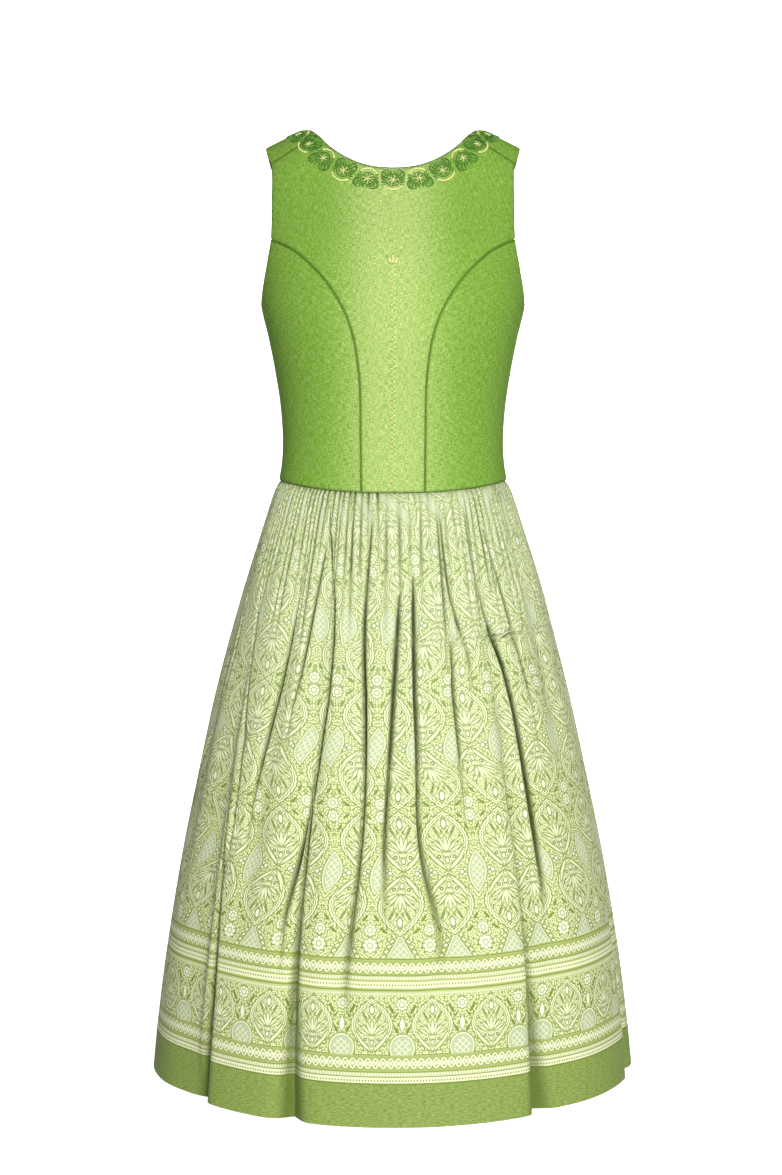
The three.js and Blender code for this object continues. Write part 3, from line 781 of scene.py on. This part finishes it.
teeth, rows = [], []
for z in np.arange(zipper["top"], waist["z"] + 4, -zipper["pitch"]):
    points, out = backPlace(np.array([-1, -0.4, 0.4, 1]) * zipper["half"], z)
    teeth.append((points + out * np.array([0.1, 0.7, 0.7, 0.1])[:, None], zipper["thread"]))
for z in np.arange(zipper["top"] + 26, waist["z"] + 5, -zipper["every"]):
    for x in (-zipper["seamAt"], zipper["seamAt"]):
        points, out = backPlace(x, z - np.linspace(0, zipper["stitch"], 4))
        rows.append((points + out * np.array([-0.1, 0.22, 0.22, -0.1])[:, None], 0.28))
zipCoil = threadMaterial("zip coil", paint(120, 160, 70), 0.4)
trimming("zip_coil", teeth, zipCoil)
trimming("zip_stitches", rows, leafThread)


# The skirt: straight widths of cloth, gathered into the waist and falling in folds
skirt = {
    "drop": 668, "length": 684, "wall": 0.7, "gap": 0.4,
    "rows": 112, "perRepeat": 40,     # mesh lines down the cloth, and across one repeat of its print
    "repeat": 64,
    "waistPower": 2.4, "hemPower": 2.05,
    "foldShare": 0.55,                # how much of the large folds the outline keeps before the gathers
}
skirtForm = {
    "at": [0, 0.02, 0.08, 0.2, 0.35, 0.5, 0.65, 0.8, 0.92, 1],
    "half": [131, 137, 150, 175, 202, 224, 244, 260, 270, 275],
    "front": [96, 102, 115, 137, 163, 184, 203, 219, 229, 234],
    "back": [91, 98, 112, 137, 163, 184, 203, 219, 228, 232],
}
folds = {
    "top": [-80, -60, -36, -24, -8, 3, 6, 18, 31, 34, 62, 84, 103, 126, 145, 163, 182, 200, 221, 250],
    "hem": [-72, -54, -43, -23, -11, -3, 12, 25, 46, 38, 56, 76, 98, 122, 149, 160, 184, 206, 226, 249],
    "start": [0, .2, .05, .05, 0, .1, .1, 0, 0, .3, 0, .2, 0, .1, 0, .1, 0, .1, 0, .1],
    "end": [.7, 1.4, .75, 1.3, .9, .85, .9, .6, .8, 1.4, .5, 1.3, 1.2, 1.3, .8, 1.3, .7, 1.3, .9, 1.3],
    "depth": [8, 15, 8, 9, 7, 7, 8, 7, 9, 13, 7, 11, 10, 13, 9, 12, 9, 13, 10, 12],
    "left": [5, 9, 4, 4, 4, 4, 3, 4, 4, 3, 4, 3, 5, 8, 5, 4, 5, 8, 5, 4],
    "right": [4, 3, 4, 4, 4, 4, 4, 4, 4, 9, 4, 8, 6, 3, 5, 8, 5, 4, 5, 8],
}
panels = {
    "node": ["skirt_left", "skirt_front", "skirt_right", "skirt_back_right", "skirt_back_left"],
    "from": [-117, -51, 36, 108, 180],
    "repeats": [5, 7, 6, 5.5, 5.5],
}
# How the gathers change down the cloth: the share of its width that the cloth keeps between them,
# and how wide they open
gather = {
    "at": [0, 0.05, 0.12, 0.25, 0.5, 0.75, 1],
    "keeps": [0.74, 0.8, 0.92, 1, 1, 1, 1],
    "opens": [0.85, 0.95, 1.3, 1.7, 2.1, 3.6, 10],
}
# The creases that show at the front: their way down the cloth, as shares of it and angles round the waist
creases = [
    {"way": [(.02, -79), (.19, -71), (.34, -71), (.5, -85)], "weight": 1},
    {"way": [(.09, -60), (.28, -56), (.42, -51), (.55, -49)], "weight": 1},
    {"way": [(.54, -53), (.69, -50), (.83, -49), (1.1, -51)], "weight": 1.6},
    {"way": [(.13, -35), (.28, -38), (.46, -42), (.52, -43)], "weight": 1},
    {"way": [(.1, -26), (.28, -30), (.36, -33)], "weight": .7},
    {"way": [(.04, -26), (.16, -21), (.25, -20), (.42, -22), (.56, -24), (.7, -28)], "weight": 1.6},
    {"way": [(.48, -23), (.77, -24), (1.1, -23)], "weight": .9},
    {"way": [(.05, -7), (.23, -9), (.51, -8), (.77, -11)], "weight": .9},
    {"way": [(.15, 2), (.35, 0), (.56, -2), (.64, -2)], "weight": 1},
    {"way": [(.15, 6), (.4, 7), (.56, 7), (.7, 11)], "weight": 1.2},
    {"way": [(.04, 18), (.18, 20), (.28, 25)], "weight": .8},
    {"way": [(.25, 19), (.49, 20)], "weight": .7},
    {"way": [(.05, 31), (.18, 33), (.33, 40), (.47, 42), (.63, 43)], "weight": 1.1},
    {"way": [(.08, 40), (.23, 45), (.35, 49)], "weight": .9},
    {"way": [(.09, 58), (.15, 59)], "weight": .6},
    {"way": [(.46, 35), (.65, 35), (.89, 35), (1.1, 36)], "weight": 1.6},
    {"way": [(.12, 80), (.35, 84), (.61, 80), (1.1, 76)], "weight": 1.3},
]


def formOf(angle, at):
    power = 2 / blend(skirt["waistPower"], skirt["hemPower"], min(1, 3 * at))
    across, ahead = np.sin(np.radians(angle)), np.cos(np.radians(angle))
    half = read(skirtForm, "at", "half", at)
    depth = np.where(ahead > 0, read(skirtForm, "at", "front", at), read(skirtForm, "at", "back", at))
    flatX = np.sign(across) * half * np.abs(across) ** power
    flatY = -np.sign(ahead) * depth * np.abs(ahead) ** power
    flat = np.stack([flatX, flatY], -1)
    push = 0
    for top, hem, start, end, deep, left, right in zip(*folds.values()):
        away = (angle - blend(top, hem, at) + 540) % 360 - 180
        ends = max(0, 1 - abs((at - (start + end) / 2) / ((end - start) / 2)) ** 4)
        push -= skirt["foldShare"] * deep * ends * np.exp(-(away / np.where(away < 0, left, right)) ** 2)
    length = np.linalg.norm(flat, axis=-1)
    return flat * ((length + push) / length)[:, None]


# All the creases round the skirt: those at the front, similar ones behind, and the short gathers
# at the waist
def allCreases():
    lines = list(creases)
    angle = 92
    while angle < 262:
        start, length = rng.uniform(0, .2), rng.choice([.35, .6, 1.2])
        drift = rng.uniform(-6, 6)
        way = [(start, angle), (start + length / 2, angle + drift / 2), (start + length, angle + drift)]
        lines.append({"way": way, "weight": rng.uniform(.8, 1.5)})
        angle += rng.uniform(9, 14)
    angle = -117
    while angle < 243:
        left = angle < -4
        start = rng.uniform(-.05, .01) if left or angle > 60 else rng.uniform(.01, .035)
        way = [(start, angle), (start + rng.uniform(.05, .22), angle + rng.uniform(-1, 1))]
        lines.append({"way": way, "weight": rng.uniform(.6, 1.3) if left else rng.uniform(.35, .9)})
        angle += rng.uniform(2.4, 3.6) if left or angle > 90 else rng.uniform(2.8, 4.6)
    return lines


def creaseAt(line, at):
    downs, angles = zip(*line["way"])
    strength = smooth((at - downs[0]) / .06 + .5) * smooth((downs[-1] - at) / .2 + .4)
    return float(read({"down": downs, "angle": angles}, "down", "angle", at)), line["weight"] * strength


# One round of the skirt at a share of its drop, as points evenly spaced along the cloth
def skirtRound(at, lines, cloth):
    edges = np.append(panels["from"], 243)
    cuts = np.append(0, np.cumsum(panels["repeats"])) * skirt["repeat"]
    angle = np.linspace(edges[0], edges[-1], 7201)
    ring = formOf(angle, at)
    length = np.concatenate([[0], np.cumsum(np.linalg.norm(np.diff(ring, axis=0), axis=1))])
    keeps, opens = float(read(gather, "at", "keeps", at)), float(read(gather, "at", "opens", at))
    spots = [creaseAt(line, at) for line in lines]
    spots = sorted(((spot - edges[0]) % 360 + edges[0], weight) for spot, weight in spots if weight > 0.004)
    width = opens * 360 / length[-1]

    def pull(spot, weight):
        return weight * np.exp(-(((angle - spot + 540) % 360 - 180) / width) ** 2)

    taken = 1e-5 + sum(pull(spot, weight) for spot, weight in spots)
    taken = np.concatenate([[0], np.cumsum((taken[1:] + taken[:-1]) / 2)])
    clothTo = np.zeros_like(angle)
    for k in range(5):
        part = (angle >= edges[k]) & (angle <= edges[k + 1])
        own, used = length[part] - length[part][0], taken[part] - taken[part][0]
        wide = cuts[k + 1] - cuts[k]
        hidden = max(0.04 * wide, wide - own[-1] / keeps)
        clothTo[part] = cuts[k] + own * (wide - hidden) / own[-1] + used * hidden / used[-1]
    # the cloth that a place hides goes into a crease: down to its bottom and up again
    used, gone = np.diff(clothTo), np.diff(length)
    slant = np.sqrt(np.maximum(0, (keeps * used) ** 2 - gone ** 2))
    bottoms = np.array([spot for spot, weight in spots])
    bottoms = np.concatenate([bottoms[-1:] - 360, bottoms, bottoms[:1] + 360])
    here = (angle[1:] + angle[:-1]) / 2
    order = np.searchsorted(bottoms, here)
    rising = here < (bottoms[order - 1] + bottoms[np.minimum(order, len(bottoms) - 1)]) / 2
    cell = (order - rising - 1) % len(spots)
    total = [np.bincount(cell[pick], slant[pick], len(spots)) for pick in (rising, ~rising)]
    mean = np.where(np.minimum(*total) > 1e-6, (total[0] + total[1]) / 2, 0)
    rise, fall = (mean / np.maximum(side, 1e-9) for side in total)
    slant *= np.where(rising, rise[cell], fall[cell])
    inward = np.concatenate([[0], np.cumsum(np.where(rising, slant, -slant))])
    inward -= inward.max()
    turned = np.interp(cloth, clothTo, angle)
    x, y, push = (np.interp(turned, angle, column) for column in (ring[:, 0], ring[:, 1], inward))
    forward = np.gradient(ring, axis=0)
    outX, outY = np.interp(turned, angle, forward[:, 1]), np.interp(turned, angle, -forward[:, 0])
    size = np.hypot(outX, outY) * np.sign(outX * x + outY * y)
    push -= 1.6 * math.exp(-at * skirt["drop"] / 4)      # the seam tucks under the bodice
    z = waistHeight(turned) - skirt["gap"] - skirt["drop"] * at
    # painted shade: the deeper a place lies in a crease, and the strip tucked under the bodice, the darker
    # the print is painted
    hollow = np.clip(-push / (2.8 + 6 * min(1, 4 * at)), 0, 1)
    return np.stack([x + outX / size * push, y + outY / size * push, z, hollow], -1)


# The print's colours; fold is a painted shade colour for the creases
shades = {
    "cream": paint(244, 246, 202), "white": paint(250, 251, 222), "pale": paint(205, 215, 154),
    "olive": paint(176, 191, 110), "dark": paint(122, 144, 54), "blue": paint(194, 207, 168),
    "hem": paint(140, 163, 78), "hemDeep": paint(96, 118, 44), "hemPale": paint(186, 202, 126),
    "cloth": paint(197, 209, 172), "fold": paint(84, 102, 22),
}
# The print from the hem up, in millimetres of cloth: its bands, its rows of dots and its repeats
plan = {
    "top": 220,
    "bands": [
        (0, "hem"), (44.5, "dark"), (45.6, "cream"), (51.7, "dark"), (52.6, "pale"), (57, "dark"),
        (57.8, "olive"), (75, "dark"), (75.8, "olive"), (137, "pale"), (141, "olive"), (142, "dark"),
        (143, "olive"), (144.5, "cream"), (151.5, "olive"), (153, "dark"), (153.8, "pale"),
        (157.7, "dark"), (158.5, "olive"), (174.6, "dark"), (175.5, "olive"),
    ],
    "darkDots": [(47.6, 49.8), (147, 149.2)],
    "lightDots": [(54, 56), (138, 140), (154.6, 156.6)],
    "grounds": [(75, 137), (177, 220)],
    "chain": {"at": 67, "apart": 99.5, "period": 16, "swing": 5, "half": 7.4},
    "cross": 266, "tip": 67, "half": 27,          # a medallion's tips, its length and its half width
    "border": {"foot": 77, "top": 137, "half": 23, "high": 59},
    "row": {"foot": 177, "top": 199.5, "apex": 201, "half": 13, "high": 23},
}
# Leaves of a medallion's palmette, each from its foot to its tip, with its half width; the other
# half mirrors them
creamLeaves = [
    (1.5, 3, 18, 19, 1.7), (11, 11, 21, 26, 1.2), (0, 22, 0, 40, 1.7), (1, 23, 6.5, 38, 1.3),
    (2.5, 23, 12, 34, 1.3), (4, 22, 17, 29, 1.2), (4, 42, 9.5, 51, 1.2), (11, 33, 19, 38, 1.0),
    (2, 56, 7, 61, 0.9),
]
darkLeaves = [
    (13, 30, 18, 43, 1.1), (5, 38, 12, 48, 1.1), (4, 27, 11, 36, 0.7), (0, 5, 9, 12, 0.7),
    (8, 46, 14, 50, 0.8), (12, 23, 20, 31, 0.7), (3, 15, 5, 20, 0.7), (2, 41, 4, 47, 0.7),
]
wedgeLeaves = [(3, 43, 9, 52, 1.3), (10, 57, 19, 64, 1.4)]       # between the medallions, from their gap
borderLeaves = [(4, 97, 9, 107, 1.4), (8, 118, 15, 129, 1.5), (4, 121, 9, 113, 1.0)]


def stepStops(levels, top):
    return [(at / top, colour) for at, colour in levels]


def leafShape(x, y, x0, y0, x1, y1, half):
    length = math.hypot(x1 - x0, y1 - y0)
    dx, dy = (x1 - x0) / length, (y1 - y0) / length
    along = x.times(dx / length, y.times(dy / length, -(x0 * dx + y0 * dy) / length))
    aside = abs(x.times(-dy, y.times(dx, x0 * dy - y0 * dx)))
    return (along * (1 - along)).times(-4 * half, aside)


def ovalShape(x, y, x0, y0, rx, ry):
    place = x.node("CombineXYZ", {}, {0: (x - x0) * (1 / rx), 1: (y - y0) * (1 / ry), 2: 0.0})
    reach = min(rx, ry)
    return place.node("VectorMath", {"operation": "LENGTH"}, {0: place}, "Value").times(reach, -reach)


def leastOf(shapes):
    joined = shapes[0]
    for shape in shapes[1:]:
        joined = joined.least(shape)
    return joined


def leavesOf(x, y, leaves):
    return leastOf([leafShape(x, y, *leaf) for leaf in leaves])


# Light shapes with a dark outline, where a mask lets them through
def outlined(ground, shape, colour, mask, line=0.9, soft=0.7):
    ground = ground.over(shades["dark"], (shape - line).inside(soft) * mask)
    return ground.over(shades[colour], shape.inside(soft) * mask)


def printColour(wire):
    u, v = threadMap(wire, 1000)
    high = v * (1 / plan["top"])
    colours = [(at, shades[name]) for at, name in plan["bands"]]
    ground = high.ramp(stepStops(colours, plan["top"]), "CONSTANT")
    marks = [(0, (0, 0, 0, 1))]
    channels = {"darkDots": (1, 0, 0, 1), "lightDots": (0, 1, 0, 1), "grounds": (0, 0, 1, 1)}
    for name, colour in channels.items():
        for low, top in plan[name]:
            marks += [(low, colour), (top, (0, 0, 0, 1))] if top < plan["top"] else [(low, colour)]
    marks.sort(key=lambda mark: mark[0])
    marks = [mark for mark, after in zip(marks, marks[1:] + [(999, None)]) if after[0] > mark[0]]
    mask = high.ramp(stepStops(marks, plan["top"]), "CONSTANT")
    darkRow, lightRow, field = (mask.node("SeparateColor", {}, {0: mask}, k) for k in range(3))
    dots = (u.fold(1.6) - 0.7).inside(0.5)
    ground = ground.over(shades["dark"], darkRow * dots).over(shades["white"], lightRow * dots)

    chain = plan["chain"]
    y = v.math("WRAP", chain["at"] + chain["apart"] / 2, chain["at"] - chain["apart"] / 2) - chain["at"]
    inChain = (abs(y) - chain["half"]).inside(0.5) * v.below(plan["row"]["foot"])
    turn = u * (2 * math.pi / chain["period"])
    wave = turn.math("SINE") * chain["swing"]
    steep = (turn.math("COSINE") * (chain["swing"] * 2 * math.pi / chain["period"])) ** 2 + 1
    strand = abs(abs(y) - abs(wave * 0.42)) + 0.2
    line = abs(abs(y) - abs(wave)).least(strand) * steep.math("INVERSE_SQRT") - 0.85
    pearl = ovalShape((u - chain["period"] / 4).fold(chain["period"] / 4), y, 0, 0, 1.8, 1.8)
    ground = outlined(ground, line, "cream", inChain, 0.6)
    ground = outlined(ground, pearl, "white", inChain, 0.5)

    x = u.fold(32)
    gap = 32 - x
    t = (v - plan["cross"]).fold(plan["tip"])
    border, row = plan["border"], plan["row"]
    inBorder = v.below(border["top"])
    inRow = v.below(row["top"]) - v.below(row["foot"])
    inField = 1 - v.below(row["top"])
    px = x.mixed(gap * (plan["half"] / border["half"]), inBorder)
    pt = t.mixed((v - border["foot"]) * (plan["tip"] / border["high"]), inBorder)
    lattice = (u + v).fold(3.4).least((u - v).fold(3.4)) * 0.7 - 0.42

    # small sprigs strewn on the open ground
    place = u.node("CombineXYZ", {}, {0: x * 0.42, 1: v * 0.42, 2: 0.0})
    scatter = {"Vector": place, "Scale": 1.0, "Randomness": 0.75}
    strewn = place.node("TexVoronoi", {"voronoi_dimensions": "2D"}, scatter)
    ground = ground.over(shades["cream"], (strewn - 0.34).inside(0.16) * field)
    ground = ground.over(shades["dark"], (0.62 - strewn).inside(0.12) * field * 0.6)

    # what lies between the medallions
    lens = leafShape(gap, t, 0, -21, 0, 21, 9)
    ground = outlined(ground, lens - 1.3, "cream", inField)
    ground = ground.over(shades["blue"], lens.inside() * inField)
    ground = ground.over(shades["cream"], lattice.inside(0.4) * (lens + 2).inside() * inField)
    pearls = leastOf([ovalShape(x, t, 14.5, 0, 2, 2), ovalShape(x, t, 18.3, 2.6, 1.5, 1.5)])
    ground = outlined(ground, pearls, "white", inField)
    ground = ground.over(shades["dark"], leavesOf(gap, t, wedgeLeaves).inside() * inField)
    tall = leafShape(x, v, 0, 100, 0, 115, 2.6)
    arch = ovalShape(x, v, 0, 83, 12, 13)
    above = inBorder * field
    ground = outlined(ground, arch - 1.3, "cream", above)
    ground = ground.over(shades["blue"], arch.inside() * above)
    ground = ground.over(shades["cream"], lattice.inside(0.4) * (arch + 3).inside() * above)
    ground = outlined(ground, tall, "white", above)
    ground = ground.over(shades["dark"], leavesOf(x, v, borderLeaves).inside() * above)

    # the row of triangles, with strings of small diamonds
    slope = 0.87 * row["half"] / row["high"]
    slant = x.times(0.87, v.times(slope, -slope * row["apex"]))
    ground = outlined(ground, slant - 1, "cream", inRow)
    ground = ground.over(shades["blue"], slant.inside() * inRow)
    ground = ground.over(shades["cream"], lattice.inside(0.4) * (slant + 2).inside() * inRow)
    diamond = (abs(slant - 4.4) + v.fold(2.7)) * 0.8 - 1.7
    ground = outlined(ground, diamond, "cream", inRow, 1.1)

    # rosettes in all three
    rx = gap.mixed(x, inBorder)
    ry = (t - 60).mixed(v - 190, inRow).mixed(v - 128.5, inBorder)
    centre = rx.node("CombineXYZ", {}, {0: rx, 1: ry, 2: 0.0})
    far = centre.node("VectorMath", {"operation": "LENGTH"}, {0: centre}, "Value")
    petal = abs((ry.math("ARCTAN2", rx) * 4).math("COSINE"))
    size = inRow * 1.6 + 6.2
    flower = far - size * petal.times(0.24, 0.76)
    ground = outlined(ground, flower, "white", field)
    ground = ground.over(shades["olive"], (petal - 0.2).inside(0.3) * flower.inside() * field)
    ground = ground.over(shades["dark"], (abs(far - 2.9) - 0.35).inside(0.5) * field)
    ground = ground.over(shades["cream"], (far - 2).inside(0.5) * field)

    # the medallions: banded outlines round a palmette
    turn = pt * (math.pi / plan["tip"])
    outline = turn.math("SINE").most(0) ** 0.85 * plan["half"]
    lean = turn.math("COSINE") ** 2 * 1.5 + 1
    edge = (px - outline) * lean.math("INVERSE_SQRT") + (pt * 1.2).math("SINE") * 0.4
    lines = [(-9, "pale"), (-6.6, "dark"), (-5.8, "cream"), (-4.3, "dark"), (-3.5, "cream"), (-1.6, "dark")]
    rim = ((edge + 9) * 0.1).ramp([((at + 9) / 10, shades[name]) for at, name in lines], "CONSTANT")
    whole = field * (1 - inRow)
    ground = ground.over(rim, (edge + 0.5).inside(0.6) * whole)
    inner = (edge + 7).inside() * whole
    place = px.node("CombineXYZ", {}, {0: px * 0.4, 1: pt * 0.4, 2: 0.0})
    scatter = {"Vector": place, "Scale": 1.0, "Randomness": 0.6}
    seeds = place.node("TexVoronoi", {"voronoi_dimensions": "2D"}, scatter)
    ground = ground.over(shades["cream"], (seeds - 0.28).inside(0.16) * inner)
    ground = ground.over(shades["olive"], (0.6 - seeds).inside(0.12) * inner)
    ground = ground.over(shades["dark"], leavesOf(px, pt, darkLeaves).inside() * inner)
    light = leavesOf(px, pt, creamLeaves)
    ground = outlined(ground, light, "cream", whole, 0.75)
    curl = ovalShape(px, pt, 8, 17, 3, 3)
    ground = ground.over(shades["dark"], (curl - 0.9).inside() * inner)
    ground = ground.over(shades["white"], leastOf([abs(curl) - 0.6, curl + 2.2]).inside() * inner)
    bud = leastOf([ovalShape(px, pt, 0, 52, 2.4, 4.6), ovalShape(px, pt, 0, 13, 1.8, 2.6)])
    return outlined(ground, bud, "white", whole, 1), u, v


def printed(name, strength):
    material, shader, wire = newMaterial(name, 0.72, sheen=0.08)
    colour, u, v = printColour(wire)
    place = u.node("CombineXYZ", {}, {0: u * 0.9, 1: v * 0.9, 2: 0.0})
    fine = {"Vector": place, "Scale": 1.0, "Detail": 2.0}
    fibre = place.node("TexNoise", {"noise_dimensions": "2D"}, fine)
    streaks = u.node("CombineXYZ", {}, {0: u * 0.2, 1: v * 0.9, 2: 0.0})
    long = {"Vector": streaks, "Scale": 1.0, "Detail": 2.0}
    heather = streaks.node("TexNoise", {"noise_dimensions": "2D"}, long)
    hem = v.below(plan["bands"][1][0])
    colour = colour.over(shades["hemDeep"], (heather - 0.5).most(0) * 2.4 * hem)
    colour = colour.over(shades["hemPale"], (0.5 - heather).most(0) * 1.6 * hem)
    if strength < 1:
        colour = colour.over(shades["cloth"], 1 - strength)
    # paler and greyer towards the waist: partly the print's own fading, partly painted light
    upperFadeAndLight = v.node("MapRange", {}, {0: v, 1: 300.0, 2: 620.0, 3: 0.0, 4: 0.3})
    colour = colour.over(shades["cloth"], upperFadeAndLight)
    colour = colour.over(shades["olive"], (fibre - 0.5).most(0) * 0.7)
    # painted shade in the creases and under the bodice edge
    hollow = u.node("Attribute", {"attribute_name": "hollow"}, {}, "Fac")
    colour = colour.over(shades["fold"], hollow * 0.68)
    feed(shader, "Base Color", colour)
    feed(shader, "Normal", bump(wire, fibre, 0.25, 0.4))
    return material


print("skirt")
downs = np.linspace(0, 1, skirt["rows"]) ** 1.3
columnsRound = int(sum(panels["repeats"]) * skirt["perRepeat"])
stations = np.arange(columnsRound + 1) * skirt["repeat"] / skirt["perRepeat"]
lines = allCreases()
rounds = np.stack([skirtRound(at, lines, stations) for at in downs])[::-1]
printedCloth = printed("printed cotton", 1)
printReverse = printed("printed cotton reverse", 0.35)
turnedColumn = 593
last = 0
for node, repeats in zip(panels["node"], panels["repeats"]):
    first, last = last, last + round(repeats * skirt["perRepeat"])
    points, hollow = rounds[:, first:last + 1, :3], rounds[:, first:last + 1, 3]
    across = np.broadcast_to(stations[first:last + 1] - turnedColumn, points.shape[:2])
    up = np.broadcast_to((1 - downs[::-1])[:, None] * skirt["length"], points.shape[:2])
    threads = np.stack([across, up], -1)
    panel = clothPiece(node + "_cloth", points, threads, hollow, skirt["wall"], [printedCloth, printReverse])
    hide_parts(node)
    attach(panel, "dress")

enamel, shader, wire = newMaterial("green enamel", 0.35, metallic=0.7)
place = wire.node("TexCoord", {}, {}, "Object")
grain = place.node("TexNoise", {}, {"Vector": place, "Scale": 260.0, "Detail": 4.0})
feed(shader, "Base Color", grain.ramp([(0.3, paint(104, 138, 62)), (0.7, paint(150, 180, 104))]))
feed(shader, "Roughness", grain.times(0.25, 0.22))
feed(shader, "Normal", bump(wire, grain, 0.15, 0.2))
for node in ("zip_slider", "zip_bridge", "zip_tab"):
    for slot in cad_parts[node].material_slots:
        slot.material = enamel

print("studio")
view = {"place": (-0.0023, -2.4, -0.528), "high": 1.357, "sensor": 24}
camera = bpy.data.objects.new("camera", bpy.data.cameras.new("camera"))
camera.data.sensor_fit = "VERTICAL"
camera.data.sensor_height = view["sensor"]
camera.data.lens = view["sensor"] * -view["place"][1] / view["high"]
camera.location = view["place"]
camera.rotation_euler = (math.pi / 2, 0, 0)
bpy.context.collection.objects.link(camera)
bpy.context.scene.camera = camera

floor = {"z": -1.43, "near": -4.5, "bend": 2.2, "round": 0.8, "top": 3.2, "half": 5}
bm = bmesh.new()
section = [(floor["near"], floor["z"]), (floor["bend"], floor["z"])]
section += [(floor["bend"] + floor["round"] * math.sin(t), floor["z"] + floor["round"] * (1 - math.cos(t)))
            for t in np.linspace(0.1, math.pi / 2, 14)]
section += [(floor["bend"] + floor["round"], floor["top"])]
verts = [bm.verts.new((-floor["half"], y, z)) for y, z in section]
edges = [bm.edges.new(pair) for pair in zip(verts, verts[1:])]
swept = bmesh.ops.extrude_edge_only(bm, edges=edges)["geom"]
moved = [v for v in swept if isinstance(v, bmesh.types.BMVert)]
bmesh.ops.translate(bm, verts=moved, vec=(2 * floor["half"], 0, 0))
mesh = bpy.data.meshes.new("backdrop")
bm.to_mesh(mesh)
bm.free()
mesh.shade_smooth()
backdrop = bpy.data.objects.new("backdrop", mesh)
paper, shader, wire = newMaterial("white paper", 0.95)
shader.inputs["Base Color"].default_value = (0.6, 0.6, 0.6, 1)
shader.inputs["Emission Strength"].default_value = 1
seen = wire.node("LightPath", {}, {}, "Is Camera Ray")
feed(shader, "Emission Color", seen * 0.9 + 0.03)
mesh.materials.append(paper)
bpy.context.collection.objects.link(backdrop)

# the air around the studio is white to look at and dim as a light
world = bpy.data.worlds.new("studio")
bpy.context.scene.world = world
world.use_nodes = True
air = Wire(world.node_tree)
dim = air.node("Background", {}, {"Color": (1, 1, 1, 1), "Strength": 0.15})
white = air.node("Background", {}, {"Color": (1, 1, 1, 1), "Strength": 1.0})
seen = air.node("LightPath", {}, {}, "Is Camera Ray")
both = air.node("MixShader", {}, {0: seen, 1: dim, 2: white})
world.node_tree.links.new(both.socket, world.node_tree.nodes["World Output"].inputs["Surface"])
bpy.context.scene.view_settings.view_transform = "Standard"


def softbox(name, place, aim, size, power):
    lamp = bpy.data.lights.new(name, "AREA")
    lamp.shape, lamp.size, lamp.size_y, lamp.energy = "RECTANGLE", size[0], size[1], power
    light = bpy.data.objects.new(name, lamp)
    light.location = place
    light.visible_camera = False
    way = np.array(aim) - np.array(place)
    yaw, tilt = math.atan2(way[0], -way[1]), math.acos(-way[2] / np.linalg.norm(way))
    light.rotation_euler = (tilt, 0, math.pi + yaw) if way[1] > 0 else (tilt, 0, yaw)
    bpy.context.collection.objects.link(light)


softbox("key", (0.7, -3.0, 0.3), (0.05, 0, -0.5), (0.9, 1.3), 92)
softbox("fill", (-1.6, -2.6, 0.3), (0, 0, -0.6), (1.2, 1.8), 16)
softbox("behind", (0.5, 2.1, 0.3), (0, 0, -0.5), (0.9, 1.3), 42)
softbox("side", (2.3, 0.9, 0.2), (0, 0, -0.5), (0.9, 1.3), 14)
softbox("other side", (-2.3, 0.9, 0.2), (0, 0, -0.5), (0.9, 1.3), 14)
